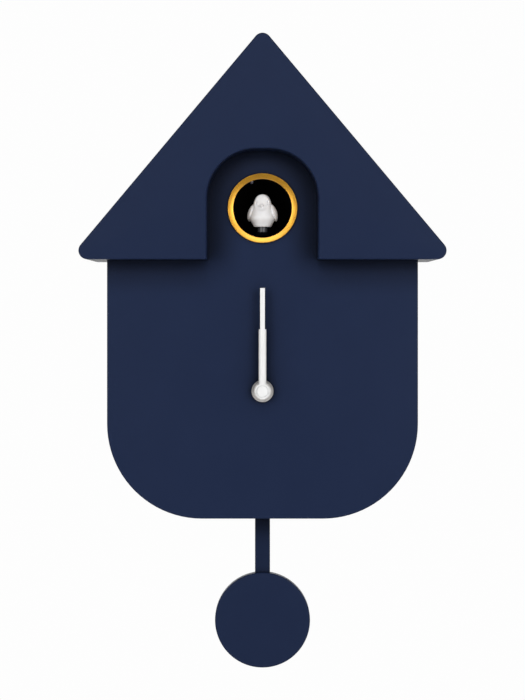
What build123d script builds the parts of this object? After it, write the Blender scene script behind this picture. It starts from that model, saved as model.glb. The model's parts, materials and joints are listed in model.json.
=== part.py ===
"""Wall-hung quartz cuckoo clock with a gable roof, a bird on a motor-driven slide and a swinging pendulum.

Lengths are millimetres and angles degrees. X runs to the right as the clock is read, Y runs back towards the
wall and Z runs up. The origin is the seat of the hanging screw in the keyhole, on the wall plane. A depth is
the distance of a surface in front of the wall plane, so that y = -depth.
"""

import os

from build123d import *
from math import asin, atan2, cos, degrees, hypot, pi, radians, sin, sqrt, tan

# ---------------------------------------------------------------------------------------------------------
# Driving dimensions of the case
ROOF_WIDTH = 215.0  # over the rounded eaves
ROOF_PITCH = 50.0
ROOF_CORNER = 5.2
CASE_DEPTH = 85.0
ROOF_PROUD = 18.0  # how far the gable stands in front of the body
BODY_WIDTH = 184.2
BODY_BELOW_EAVES = 153.3
BODY_CORNER = 56.2
WALL = 2.5
EDGE = 0.9  # outer edge rounding
FIT = 0.25  # gap between moulded parts that nest
ARCH_HALF_WIDTH = 32.7
ARCH_CORNER = 28.9
ARCH_HEIGHT = 64.9
ARCH_DRAFT = 2.0
ARCH_EDGE = 0.6
HANGER_ABOVE_EAVES = 73.3

# Heights of the main features
EAVES_Z = -HANGER_ABOVE_EAVES
BODY_BOTTOM_Z = EAVES_Z - BODY_BELOW_EAVES
WINDOW_Z = EAVES_Z + 30.6
HANDS_Z = EAVES_Z - 77.6
PIVOT_Z = HANDS_Z - 4.0
BOB_Z = EAVES_Z - 216.3

# Depths of the main planes
FACE = CASE_DEPTH - ROOF_PROUD
FACE_BACK = FACE - WALL
BACK_PLATE = 3.0

# Bird window
WINDOW_RADIUS = 17.05
RING_RADIUS = 20.55
RING_SLEEVE = 18.8
RING_PROUD = 1.1
TUNNEL_BORE = 17.8
TUNNEL_WALL = 1.8
TUNNEL_BACK = 36.0
SENSOR_ANGLE = 112.0
SENSOR_RADIUS = 1.5

# Bird and its slide
BIRD_DEPTH = 52.0
BIRD_BASE_Z = EAVES_Z + 20.0
BIRD_HEIGHT = 19.7
BIRD_TRAVEL = 22.0
POST_RADIUS = 2.9
ARM_TOP_Z = EAVES_Z + 16.9
ARM_THICK = 2.2
ARM_HALF_WIDTH = 4.0
CARRIAGE_BACK = 6.0
CARRIAGE_FRONT = 13.0
CARRIAGE_HALF_WIDTH = 14.5
CARRIAGE_BOTTOM_Z = EAVES_Z + 6.2
GUIDE_X = 11.0
GUIDE_Z = EAVES_Z + 9.0
GUIDE_RADIUS = 1.5
GUIDE_GAP = 0.08
RACK_MODULE = 0.5
RACK_PITCH_Z = EAVES_Z + 2.5
RACK_HALF_WIDTH = 2.5
RACK_FRONT = 35.4
DRIVE_DEPTH = 33.0
DRIVE_PINION_TEETH = 12
DRIVE_WHEEL_TEETH = 40
MOTOR_PINION_TEETH = 10
FRAME_FRONT = 60.0
FRAME_BACK = 3.6
FRAME_PLATE = 2.0
FRAME_BOTTOM_Z = EAVES_Z - 26.0
CHEEK_LEFT_X = -8.0
CHEEK_RIGHT_X = 8.0
MOTOR_RADIUS = 10.0
MOTOR_FLAT = 7.5
MOTOR_LENGTH = 25.0

# Quartz movement and hands
MOVEMENT_SIZE = 56.0
MOVEMENT_BACK = 49.5
MOVEMENT_SPLIT = 56.5
MOVEMENT_WALL = 1.2
POST_THREAD_RADIUS = 4.0
POST_LENGTH = 3.4  # of threaded post beyond the face
HOUR_PIPE_RADIUS = 2.55
MINUTE_ARBOR_RADIUS = 1.6
ARBOR_GAP = 0.08
HOUR_HAND_LENGTH = 36.6
HOUR_HAND_WIDTH = 4.4
MINUTE_HAND_LENGTH = 60.9
MINUTE_HAND_WIDTH = 2.8
HAND_THICK = 0.8
HUB_RADIUS = 4.6
CAP_RADIUS = 3.4
NUT_RADIUS = 6.5
HOUR_HAND_DEPTH = 71.4
MINUTE_HAND_DEPTH = 73.0

# Pendulum
SWING = 8.0
ROD_WIDTH = 9.0
ROD_THICK = 4.0
ROD_BACK = 41.5
ROD_TOP_Z = PIVOT_Z - 32.0
BOB_RADIUS = 28.6
BOB_BACK = 39.0
BOB_FRONT = 48.0
BOB_CROWN = 0.7
BOB_SKIN = 1.6
PIVOT_RADIUS = 0.75
SLOT_HALF_WIDTH = 17.0
SLOT_BACK = 38.0
SLOT_FRONT = 49.0

# Batteries
CELL_RADIUS = 12.9
CELL_LENGTH = 47.6
CELL_PITCH = 27.4
CELL_COUNT = 3
BAY_CENTRE_Z = EAVES_Z - 117.0
BAY_HALF_WIDTH = 41.5
BAY_HALF_HEIGHT = 27.5
BAY_FLOOR = 31.5
BAY_WALL = 1.5
DOOR_HALF_WIDTH = 43.0
DOOR_HALF_HEIGHT = 29.0
DOOR_THICK = 2.4

# Speaker and circuit board
SPEAKER_X = 58.0
SPEAKER_Z = EAVES_Z - 36.0
SPEAKER_RADIUS = 22.0
SPEAKER_DEPTH = 17.0
BOARD_LEFT_X = -84.0
BOARD_RIGHT_X = -42.0
BOARD_BOTTOM_Z = EAVES_Z - 68.0
BOARD_TOP_Z = EAVES_Z - 14.0
BOARD_BACK = 6.6
BOARD_THICK = 1.6
SWITCH_X = -63.0
SWITCH_Z = EAVES_Z - 26.0
SWITCH_TRAVEL = 2.0

# Setting knob
KNOB_RADIUS = 6.5
KNOB_WELL_RADIUS = 9.5
KNOB_WELL_FLOOR = 9.5
KNOB_STEM_RADIUS = 1.25

# Fasteners
SCREW_HEAD_RADIUS = 2.8
SCREW_SHANK_RADIUS = 1.4
PILOT_RADIUS = SCREW_SHANK_RADIUS
BOSS_RADIUS = 3.6
CLEARANCE_RADIUS = 1.7

RACK_PINION_RADIUS = RACK_MODULE * DRIVE_PINION_TEETH / 2
DRIVE_AXIS_Z = RACK_PITCH_Z - RACK_PINION_RADIUS
MOTOR_AXIS_Z = DRIVE_AXIS_Z - RACK_MODULE * (DRIVE_WHEEL_TEETH + MOTOR_PINION_TEETH) / 2


# ---------------------------------------------------------------------------------------------------------
# Building blocks
def slab(outline, near, far):
    """Material with an XZ outline, from one depth to a larger one."""
    return extrude(Plane.XZ.offset(near) * outline, far - near)


def disc(x, z, radius, near, far):
    """Round bar along the depth."""
    return slab(Pos(x, z) * Circle(radius), near, far)


def tube(x, z, outer, inner, near, far):
    """Hollow round bar along the depth."""
    return disc(x, z, outer, near, far) - disc(x, z, inner, near, far)


def block(x0, x1, near, far, z0, z1):
    """Rectangular block between two x, two depths and two z."""
    return Pos((x0 + x1) / 2, -(near + far) / 2, (z0 + z1) / 2) * Box(x1 - x0, far - near, z1 - z0)


def bar_x(depth, z, radius, x0, x1):
    """Round bar along X."""
    return extrude(Plane.YZ.offset(x0) * Pos(-depth, z) * Circle(radius), x1 - x0)


def bar_z(x, depth, radius, z0, z1):
    """Round bar along Z."""
    return extrude(Plane.XY.offset(z0) * Pos(x, -depth) * Circle(radius), z1 - z0)


def edges_at_depth(shape, depth):
    """Edges that lie wholly on one depth plane."""
    return shape.edges().filter_by_position(Axis.Y, -depth - 0.01, -depth + 0.01)


def polar(radius, angle):
    """X and Z offsets of a point at an angle, anticlockwise from +X as the clock is read."""
    return radius * cos(radians(angle)), radius * sin(radians(angle))


def toothed(teeth, module, centre_angle=0.0, share=0.42, addendum=0.85, dedendum=1.15):
    """Clock-style gear outline: radial flanks below the pitch circle and rounded tips above it.

    centre_angle is where the middle of one tooth points. share is the tooth's part of the pitch.
    """
    pitch_radius = module * teeth / 2
    half = 180.0 / teeth * share
    profile = (
        (-dedendum, half),
        (0.0, half),
        (0.45 * addendum, 0.86 * half),
        (0.8 * addendum, 0.62 * half),
        (addendum, 0.34 * half),
    )
    points = []
    for tooth in range(teeth):
        middle = centre_angle + 360.0 * tooth / teeth
        for height, angle in profile:
            points.append(polar(pitch_radius + height * module, middle - angle))
        for height, angle in reversed(profile):
            points.append(polar(pitch_radius + height * module, middle + angle))
    return make_face(Polyline(*points, close=True))


def pan_screw(x, z, head_depth, length, inward=1):
    """Cross-head pan screw along the depth. head_depth is the underside of its head; inward -1 drives it back."""
    head_height = 1.9
    near, far = sorted((head_depth, head_depth - inward * head_height))
    head = disc(x, z, SCREW_HEAD_RADIUS, near, far)
    top = head_depth - inward * head_height
    head = fillet(edges_at_depth(head, top), 0.7)
    tip = head_depth + inward * length
    shank = disc(x, z, SCREW_SHANK_RADIUS, *sorted((head_depth, tip)))
    shank = chamfer(edges_at_depth(shank, tip), 0.6)
    recess_floor = top + inward * 1.1
    cross = Rectangle(3.0, 0.8) + Rectangle(0.8, 3.0)
    return head + shank - slab(Pos(x, z) * cross, *sorted((top, recess_floor)))


def save(name, shape):
    """Writes one named node, one STEP file."""
    solids = shape.solids()
    whole = solids[0] if len(solids) == 1 else Compound(children=list(solids))
    whole.label = name
    export_step(whole, f"parts/{name}.step")


# ---------------------------------------------------------------------------------------------------------
# Outlines
def roof_outline(inset=0.0):
    """Triangular gable with rounded corners, drawn inset by a wall thickness."""
    rise = tan(radians(ROOF_PITCH))
    corner_run = 1.0 / tan(radians(ROOF_PITCH / 2))
    virtual_half = ROOF_WIDTH / 2 + ROOF_CORNER * (corner_run - 1.0)
    half = virtual_half - inset * corner_run
    base = EAVES_Z + inset
    triangle = make_face(Polyline((-half, base), (half, base), (0, base + half * rise), close=True))
    return fillet(triangle.vertices(), max(ROOF_CORNER - inset, 1.0))


def body_outline(inset=0.0, top=EAVES_Z + WALL + FIT):
    """Body below the roof: straight sides and two large bottom corners."""
    half = BODY_WIDTH / 2 - inset
    bottom = BODY_BOTTOM_Z + inset
    sheet = Pos(0, (bottom + top) / 2) * Rectangle(2 * half, top - bottom)
    return fillet(sheet.vertices().group_by(Axis.Y)[0], BODY_CORNER - inset)


def arch_outline(grow=0.0):
    """Doorway shape in the gable: straight legs, rounded shoulders and a short flat top."""
    half = ARCH_HALF_WIDTH + grow
    top = EAVES_Z + ARCH_HEIGHT + grow
    below = EAVES_Z - 10.0
    sheet = Pos(0, (below + top) / 2) * Rectangle(2 * half, top - below)
    return fillet(sheet.vertices().group_by(Axis.Y)[-1], ARCH_CORNER + grow)


REAR_SCREWS = ((-81.0, EAVES_Z - 9.0), (81.0, EAVES_Z - 9.0), (-62.0, BODY_BOTTOM_Z + 27.0),
               (62.0, BODY_BOTTOM_Z + 27.0), (0.0, EAVES_Z + 103.0))
ROOF_SCREWS = ((-60.0, EAVES_Z + 20.0), (60.0, EAVES_Z + 20.0), (-20.0, EAVES_Z + 84.0), (20.0, EAVES_Z + 84.0))
FRAME_SCREWS = ((-20.0, EAVES_Z - 20.0), (20.0, EAVES_Z - 20.0), (-20.0, EAVES_Z + 1.0), (20.0, EAVES_Z + 1.0))
BOARD_SCREWS = ((-80.0, BOARD_BOTTOM_Z + 4.0), (-46.0, BOARD_TOP_Z - 4.0))


# ---------------------------------------------------------------------------------------------------------
# Case
def front_shell():
    """Body tub: the face with a gable panel that carries the roof, side walls and screw bosses."""
    tub = slab(body_outline(), 0, FACE)
    rim = edges_at_depth(tub, FACE).filter_by(lambda e: e.center().Z < EAVES_Z - 1)
    tub = fillet(rim, EDGE)
    tub -= slab(body_outline(inset=WALL, top=EAVES_Z + 2 * WALL), 0, FACE_BACK)
    panel = roof_outline(inset=WALL + FIT) - Pos(0, EAVES_Z) * Rectangle(2 * ROOF_WIDTH, 2 * (WALL + FIT))
    shell = tub + slab(panel, FACE_BACK, FACE)
    for x, z in REAR_SCREWS:
        shell += disc(x, z, BOSS_RADIUS, BACK_PLATE + FIT, FACE_BACK)
    for x, z in FRAME_SCREWS:
        shell += disc(x, z, BOSS_RADIUS - 0.6, FRAME_FRONT, FACE_BACK)
    for x, z in REAR_SCREWS:
        shell -= disc(x, z, PILOT_RADIUS, 0, 18.0)
    for x, z in FRAME_SCREWS:
        shell -= disc(x, z, PILOT_RADIUS, FRAME_FRONT - 1, FACE_BACK + 1.0)
    for x, z in ROOF_SCREWS:
        shell -= disc(x, z, CLEARANCE_RADIUS, FACE_BACK - 1, FACE + 1)
    shell -= disc(0, WINDOW_Z, RING_SLEEVE + 0.15, FACE_BACK - 1, FACE + 1)
    shell -= disc(0, HANDS_Z, POST_THREAD_RADIUS + 0.2, FACE_BACK - 1, FACE + 1)
    shell -= block(-SLOT_HALF_WIDTH, SLOT_HALF_WIDTH, SLOT_BACK, SLOT_FRONT, BODY_BOTTOM_Z - 1, BODY_BOTTOM_Z + 5)
    return shell


def roof_cover():
    """Gable shell: sloping sides, eaves and a thick front with the arched doorway."""
    roof = slab(roof_outline(), 0, CASE_DEPTH)
    roof = fillet(edges_at_depth(roof, CASE_DEPTH), EDGE)
    roof -= extrude(Plane.XZ.offset(CASE_DEPTH) * arch_outline(), FACE - CASE_DEPTH - 1, taper=ARCH_DRAFT)
    roof -= extrude(Plane.XZ.offset(CASE_DEPTH) * arch_outline(grow=ARCH_EDGE), -2 * ARCH_EDGE, taper=45)
    hollow = slab(roof_outline(inset=WALL), 0, CASE_DEPTH - WALL)
    behind_panel = slab(body_outline(inset=-FIT, top=EAVES_Z + WALL + 1), 0, FACE + FIT)
    arch_room = slab(arch_outline(grow=WALL), FACE + FIT, CASE_DEPTH)
    roof -= hollow - arch_room
    roof -= behind_panel
    roof -= slab(arch_outline(grow=2 * WALL), 0, FACE + FIT)
    for x, z in ROOF_SCREWS:
        roof += disc(x, z, BOSS_RADIUS, FACE + FIT, CASE_DEPTH - WALL)
        roof -= disc(x, z, PILOT_RADIUS, FACE, CASE_DEPTH - WALL - 3)
    return roof


def rear_cover():
    """Back panel over body and roof: hanger window, battery opening, knob well, switch slot, sound holes."""
    upper = roof_outline(inset=WALL + FIT) - Pos(0, EAVES_Z) * Rectangle(2 * ROOF_WIDTH, 2 * (WALL + FIT))
    cover = slab(body_outline(inset=WALL + FIT), 0, BACK_PLATE)
    cover += slab(upper, 0, BACK_PLATE)
    cover += disc(KNOB_X, KNOB_Z, KNOB_WELL_RADIUS + 1.5, BACK_PLATE, KNOB_WELL_FLOOR + 1.5)
    cover -= disc(KNOB_X, KNOB_Z, KNOB_WELL_RADIUS, 0, KNOB_WELL_FLOOR)
    cover -= disc(KNOB_X, KNOB_Z, KNOB_STEM_RADIUS + 0.5, 0, KNOB_WELL_FLOOR + 3)
    cover += tube(SPEAKER_X, SPEAKER_Z, SPEAKER_RADIUS + 2.0, SPEAKER_RADIUS + 0.2, BACK_PLATE, BACK_PLATE + 5)
    bay = Pos(0, BAY_CENTRE_Z) * Rectangle(2 * DOOR_HALF_WIDTH + 0.8, 2 * DOOR_HALF_HEIGHT + 0.8)
    cover -= slab(bay, 0, BACK_PLATE)
    for x, z in REAR_SCREWS:
        cover -= disc(x, z, SCREW_HEAD_RADIUS + 0.4, 0, 2.0)
        cover -= disc(x, z, CLEARANCE_RADIUS, 0, BACK_PLATE)
    for x, z in BOARD_SCREWS:
        cover += disc(x, z, BOSS_RADIUS - 0.6, BACK_PLATE, BOARD_BACK)
        cover -= disc(x, z, PILOT_RADIUS, 1.0, BOARD_BACK)
    for x, z in sound_holes():
        cover -= disc(x, z, 1.3, 0, BACK_PLATE)
    slot = Rectangle(2 * SWITCH_TRAVEL + 5.4, 4.4)
    cover -= slab(Pos(SWITCH_X, SWITCH_Z) * slot, 0, BACK_PLATE)
    window = Pos(0, HANGER_WINDOW_Z) * RectangleRounded(HANGER_WINDOW_WIDTH, HANGER_WINDOW_HEIGHT, 2.0)
    cover -= slab(window, 0, BACK_PLATE)
    for x in (-10.5, 10.5):
        cover -= disc(x, -6.0, PILOT_RADIUS, 0.9, BACK_PLATE)
    return cover


def sound_holes():
    """Rings of holes in front of the speaker cone."""
    places = [(SPEAKER_X, SPEAKER_Z)]
    for ring in range(1, 4):
        count = 6 * ring
        for n in range(count):
            dx, dz = polar(5.4 * ring, 360.0 * n / count)
            places.append((SPEAKER_X + dx, SPEAKER_Z + dz))
    return places


KEYHOLE_HEAD_RADIUS = 4.5
KEYHOLE_SHANK_RADIUS = 2.3
KEYHOLE_DROP = 9.0
HANGER_WINDOW_WIDTH = 15.0
HANGER_WINDOW_HEIGHT = 21.0
HANGER_WINDOW_Z = -5.5


def keyhole():
    """Keyhole whose upper end, where the screw's shank rests, is centred on the origin."""
    head = Pos(0, -KEYHOLE_DROP) * Circle(KEYHOLE_HEAD_RADIUS)
    slot = Pos(0, -KEYHOLE_DROP / 2) * Rectangle(2 * KEYHOLE_SHANK_RADIUS, KEYHOLE_DROP)
    return head + slot + Circle(KEYHOLE_SHANK_RADIUS)


def hanger_plate():
    """Steel plate behind the back panel that takes the clock's weight on the wall screw."""
    sheet = Pos(0, -6.0) * RectangleRounded(28.0, 34.0, 3.0) - keyhole()
    plate = slab(sheet, BACK_PLATE, BACK_PLATE + 1.5)
    for x in (-10.5, 10.5):
        plate -= disc(x, -6.0, CLEARANCE_RADIUS, BACK_PLATE, BACK_PLATE + 1.5)
    return plate


def hanger_screws():
    """Two short screws that hold the steel plate, driven from inside."""
    screws = Part()
    for x in (-10.5, 10.5):
        screws += pan_screw(x, -6.0, BACK_PLATE + 1.5, 3.4, inward=-1)
    return screws


def rear_cover_screws():
    """Five screws through the back panel into the long bosses."""
    screws = Part()
    for x, z in REAR_SCREWS:
        screws += pan_screw(x, z, 2.0, 12.0)
    return screws


def roof_screws():
    """Four screws through the gable panel into the roof's bosses."""
    screws = Part()
    for x, z in ROOF_SCREWS:
        screws += pan_screw(x, z, FACE_BACK, 10.0)
    return screws


# ---------------------------------------------------------------------------------------------------------
# Bird window
def window_ring():
    """Turned brass-coloured ring: a bevelled flange on the face and a sleeve through it."""
    front = FACE + RING_PROUD
    ring = disc(0, WINDOW_Z, RING_RADIUS, FACE, front) + disc(0, WINDOW_Z, RING_SLEEVE, FACE_BACK - 2.5, front)
    ring -= disc(0, WINDOW_Z, WINDOW_RADIUS, 0, CASE_DEPTH)
    rims = edges_at_depth(ring, front)
    return chamfer(rims, 0.35)


def bird_tunnel():
    """Dark drum behind the window that hides the mechanism; its back wall is slotted for the bird's arm."""
    outer = TUNNEL_BORE + TUNNEL_WALL
    drum = disc(0, WINDOW_Z, outer, TUNNEL_BACK, FACE_BACK)
    drum += disc(0, WINDOW_Z, outer + 2.6, FACE_BACK - 2.0, FACE_BACK)
    drum -= disc(0, WINDOW_Z, TUNNEL_BORE, TUNNEL_BACK + 2.0, FACE_BACK)
    drum -= disc(0, WINDOW_Z, RING_SLEEVE + 0.15, FACE_BACK - 2.8, FACE_BACK)
    drum -= block(-ARM_HALF_WIDTH - 0.5, ARM_HALF_WIDTH + 0.5, TUNNEL_BACK, TUNNEL_BACK + 2.0,
                  ARM_TOP_Z - ARM_THICK - 0.5, ARM_TOP_Z + 0.5)
    drum -= sensor_bar(SENSOR_RADIUS + 0.05, TUNNEL_BORE - 2, outer + 1)
    return drum


SENSOR_DEPTH = 59.5


def sensor_bar(radius, inner, outer):
    """Radial round bar through the tunnel wall at the light sensor's place."""
    dx, dz = polar(1.0, SENSOR_ANGLE)
    start = (inner * dx, -SENSOR_DEPTH, WINDOW_Z + inner * dz)
    return extrude(Plane(origin=start, x_dir=(0, 1, 0), z_dir=(dx, 0, dz)) * Circle(radius), outer - inner)


def light_sensor():
    """Small clear light sensor whose dome just shows inside the tunnel; it silences the bird in the dark."""
    barrel = sensor_bar(SENSOR_RADIUS, TUNNEL_BORE - 0.4, TUNNEL_BORE + TUNNEL_WALL + 1.2)
    flange = sensor_bar(SENSOR_RADIUS + 0.5, TUNNEL_BORE + TUNNEL_WALL + 0.2, TUNNEL_BORE + TUNNEL_WALL + 1.2)
    dx, dz = polar(TUNNEL_BORE - 0.4, SENSOR_ANGLE)
    dome = Pos(dx, -SENSOR_DEPTH, WINDOW_Z + dz) * Sphere(SENSOR_RADIUS - 0.02)
    return barrel + flange + dome


# ---------------------------------------------------------------------------------------------------------
# Bird
def bird_torso():
    """Turned body of the bird, base at z = 0."""
    outline = Line((0, 0), (5.1, 0)) + Line((5.1, 0), (5.35, 1.5))
    outline += Spline((5.35, 1.5), (7.0, 5.4), (6.9, 9.0), (5.75, 13.2), (4.8, 16.4), (2.6, 19.2),
                      (0, BIRD_HEIGHT), tangents=((0.5, 1.0), (-1.0, 0.0)))
    outline += Line((0, BIRD_HEIGHT), (0, 0))
    return revolve(Plane.XZ * make_face(outline), Axis.Z)


def bird_body():
    """Plump bird standing on a flat base, with a domed head, a small round beak and two eye dimples."""
    beak = Pos(0, -5.75, 12.9) * Sphere(1.35)
    tail = Pos(0, 6.4, 3.6) * Rot(X=-38) * Box(5.0, 5.0, 2.2)
    body = bird_torso() + beak + fillet(tail.edges(), 0.8)
    for side in (-1, 1):
        body -= Pos(side * 3.75, -3.75, 15.0) * Sphere(0.55)
        body -= Pos(side * WING_PEG_X, 0, WING_PEG_Z) * Rot(Y=90) * Cylinder(WING_PEG_RADIUS + 0.05, 4.0)
    body -= Cylinder(1.25, 5.0)
    return Pos(0, -BIRD_DEPTH, BIRD_BASE_Z) * body


WING_PEG_X = 5.6
WING_PEG_Z = 8.6
WING_PEG_RADIUS = 0.8


def bird_wing():
    """Folded wing of the bird's right-hand side as seen: a leaf-shaped pad with a peg that plugs into the body."""
    pad = Pos(7.35, 0.4, 8.3) * Rot(Y=9.0) * scale(Sphere(1.0), by=(2.1, 5.0, 5.7))
    wing = pad - bird_torso()
    peg_start, peg_end = WING_PEG_X - 1.4, WING_PEG_X + 2.4
    peg = Pos((peg_start + peg_end) / 2, 0, WING_PEG_Z) * Rot(Y=90) * Cylinder(WING_PEG_RADIUS, peg_end - peg_start)
    return Pos(0, -BIRD_DEPTH, BIRD_BASE_Z) * (wing + peg)


def bird_post():
    """Short dark pillar between the slide's arm and the bird, with a spigot into the bird's base."""
    pillar = bar_z(0, BIRD_DEPTH, POST_RADIUS, ARM_TOP_Z, BIRD_BASE_Z)
    return pillar + bar_z(0, BIRD_DEPTH, 1.2, BIRD_BASE_Z, BIRD_BASE_Z + 2.2)


def bird_carriage():
    """Slide block on two guide rods, with the arm that carries the bird and a rack underneath."""
    carriage = block(-CARRIAGE_HALF_WIDTH, CARRIAGE_HALF_WIDTH, CARRIAGE_BACK, CARRIAGE_FRONT,
                     CARRIAGE_BOTTOM_Z, ARM_TOP_Z - ARM_THICK)
    arm_end = BIRD_DEPTH + 3.6
    arm = block(-ARM_HALF_WIDTH, ARM_HALF_WIDTH, CARRIAGE_BACK, arm_end, ARM_TOP_Z - ARM_THICK, ARM_TOP_Z)
    tips = arm.edges().filter_by(Axis.Z).group_by(Axis.Y)[0]
    carriage += fillet(tips, 3.2)
    for side in (-1, 1):
        carriage -= disc(side * GUIDE_X, GUIDE_Z, GUIDE_RADIUS + GUIDE_GAP, 0, CASE_DEPTH)
    wheel_groove = block(3.4, 7.1, 0, CARRIAGE_FRONT + 1, CARRIAGE_BOTTOM_Z - 1, DRIVE_AXIS_Z + 11.2)
    carriage -= wheel_groove
    return carriage + rack()


def rack():
    """Straight toothed bar, in mesh with the drive pinion at rest."""
    pitch = pi * RACK_MODULE
    back_z = RACK_PITCH_Z + 1.25 * RACK_MODULE
    bar = block(-RACK_HALF_WIDTH, RACK_HALF_WIDTH, CARRIAGE_BACK, RACK_FRONT, back_z, CARRIAGE_BOTTOM_Z)
    half = pitch / 2 * 0.84
    count = 18
    for n in range(count):
        depth = DRIVE_DEPTH + (n - count + 2) * pitch
        tooth = make_face(Polyline(
            (-depth - half / 1.15, back_z), (-depth - half / 2, RACK_PITCH_Z),
            (-depth - half / 4, RACK_PITCH_Z - 0.8 * RACK_MODULE),
            (-depth + half / 4, RACK_PITCH_Z - 0.8 * RACK_MODULE),
            (-depth + half / 2, RACK_PITCH_Z), (-depth + half / 1.15, back_z), close=True))
        bar += extrude(Plane.YZ.offset(-RACK_HALF_WIDTH) * tooth, 2 * RACK_HALF_WIDTH)
    return bar


# ---------------------------------------------------------------------------------------------------------
# Bird drive
def mech_frame():
    """Moulded frame of the bird drive: front and back plates for the guide rods and two cheeks for the gears."""
    half, top = 24.0, EAVES_Z + 12.6
    front = block(-half, half, FRAME_FRONT - FRAME_PLATE, FRAME_FRONT, FRAME_BOTTOM_Z, EAVES_Z + 5.0)
    front += block(-14.5, 14.5, FRAME_FRONT - FRAME_PLATE, FRAME_FRONT, EAVES_Z + 5.0, top)
    front -= disc(0, WINDOW_Z, TUNNEL_BORE + TUNNEL_WALL + 0.4, 0, CASE_DEPTH)
    back = block(-14.5, 14.5, FRAME_BACK, FRAME_BACK + FRAME_PLATE, FRAME_BOTTOM_Z, top)
    frame = front + back
    for x in (CHEEK_LEFT_X, CHEEK_RIGHT_X):
        frame += block(x, x + FRAME_PLATE, FRAME_BACK, FRAME_FRONT, FRAME_BOTTOM_Z, EAVES_Z + 5.9)
    frame += block(CHEEK_LEFT_X, CHEEK_RIGHT_X + 2, FRAME_BACK, FRAME_FRONT, FRAME_BOTTOM_Z, FRAME_BOTTOM_Z + 2)
    for side in (-1, 1):
        frame -= disc(side * GUIDE_X, GUIDE_Z, GUIDE_RADIUS, 0, CASE_DEPTH)
    frame -= bar_x(DRIVE_DEPTH, DRIVE_AXIS_Z, 1.0, CHEEK_LEFT_X, CHEEK_RIGHT_X + 2)
    frame -= bar_x(DRIVE_DEPTH, MOTOR_AXIS_Z, 3.05, CHEEK_RIGHT_X - 1, CHEEK_RIGHT_X + 3)
    for x, z in FRAME_SCREWS:
        frame -= disc(x, z, CLEARANCE_RADIUS, FRAME_FRONT - 3, FRAME_FRONT + 1)
    return frame


def frame_screws():
    """Four screws that hold the drive's frame to the front shell."""
    screws = Part()
    for x, z in FRAME_SCREWS:
        screws += pan_screw(x, z, FRAME_FRONT - FRAME_PLATE, 6.5)
    return screws


def guide_rods():
    """Steel pins of the drive: two rods that the slide block runs on and the gear's axle."""
    rods = bar_x(DRIVE_DEPTH, DRIVE_AXIS_Z, 1.0, CHEEK_LEFT_X, CHEEK_RIGHT_X + 2)
    for side in (-1, 1):
        rods += disc(side * GUIDE_X, GUIDE_Z, GUIDE_RADIUS, FRAME_BACK, FRAME_FRONT)
    return rods


def gear_on_x(teeth, module, depth, z, x0, x1, centre_angle):
    """Gear whose axle lies along X."""
    return extrude(Plane.YZ.offset(x0) * Pos(-depth, z) * toothed(teeth, module, centre_angle), x1 - x0)


def drive_gear():
    """Compound gear: the small pinion drives the rack, the large wheel is driven by the motor."""
    gear = gear_on_x(DRIVE_PINION_TEETH, RACK_MODULE, DRIVE_DEPTH, DRIVE_AXIS_Z, -2.8, 4.0,
                     90.0 + 180.0 / DRIVE_PINION_TEETH)
    gear += gear_on_x(DRIVE_WHEEL_TEETH, RACK_MODULE, DRIVE_DEPTH, DRIVE_AXIS_Z, 4.0, 6.5, -90.0)
    gear += bar_x(DRIVE_DEPTH, DRIVE_AXIS_Z, 2.2, -5.6, -2.8)
    return gear - bar_x(DRIVE_DEPTH, DRIVE_AXIS_Z, 1.0 + 0.06, -20, 20)


def motor_pinion():
    """Brass pinion pressed on the motor's shaft."""
    gear = gear_on_x(MOTOR_PINION_TEETH, RACK_MODULE, DRIVE_DEPTH, MOTOR_AXIS_Z, 3.6, 7.0,
                     90.0 + 180.0 / MOTOR_PINION_TEETH)
    return gear - bar_x(DRIVE_DEPTH, MOTOR_AXIS_Z, 0.75, -20, 20)


MOTOR_X = CHEEK_RIGHT_X + FRAME_PLATE


def motor_profile(inset=0.0):
    """Round motor section with two flats."""
    section = Circle(MOTOR_RADIUS - inset) & Rectangle(2 * (MOTOR_FLAT - inset), 2 * MOTOR_RADIUS)
    return Pos(-DRIVE_DEPTH, MOTOR_AXIS_Z) * section


def motor_can():
    """Steel can of the small direct-current motor, open towards its end cap."""
    can = extrude(Plane.YZ.offset(MOTOR_X) * motor_profile(), MOTOR_LENGTH - 4)
    can -= extrude(Plane.YZ.offset(MOTOR_X + 0.8) * motor_profile(0.8), MOTOR_LENGTH)
    can += bar_x(DRIVE_DEPTH, MOTOR_AXIS_Z, 3.0, MOTOR_X - 1.6, MOTOR_X + 0.2)
    return can - bar_x(DRIVE_DEPTH, MOTOR_AXIS_Z, 0.75 + 0.08, 0, MOTOR_X + 2)


def motor_end_cap():
    """Plastic end cap of the motor with its rear bearing and two solder tags."""
    start = MOTOR_X + MOTOR_LENGTH - 4
    cap = extrude(Plane.YZ.offset(start) * motor_profile(), 3.0)
    cap += bar_x(DRIVE_DEPTH, MOTOR_AXIS_Z, 3.0, start + 3.0, start + 4.4)
    cap -= bar_x(DRIVE_DEPTH, MOTOR_AXIS_Z, 0.75 + 0.08, start - 1, start + 3.4)
    for depth in (DRIVE_DEPTH - 5, DRIVE_DEPTH + 5):
        cap += block(start + 3.0, start + 6.5, depth - 0.3, depth + 0.3, MOTOR_AXIS_Z - 1.2, MOTOR_AXIS_Z + 1.2)
    return cap


def motor_magnets():
    """Two arc magnets glued inside the can."""
    section = motor_profile(0.8) - Pos(-DRIVE_DEPTH, MOTOR_AXIS_Z) * Circle(6.4)
    ring = extrude(Plane.YZ.offset(MOTOR_X + 3) * section, MOTOR_LENGTH - 9)
    keep_out = block(0, 60, DRIVE_DEPTH - 20, DRIVE_DEPTH + 20, MOTOR_AXIS_Z - 3.5, MOTOR_AXIS_Z + 3.5)
    return ring - keep_out


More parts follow.
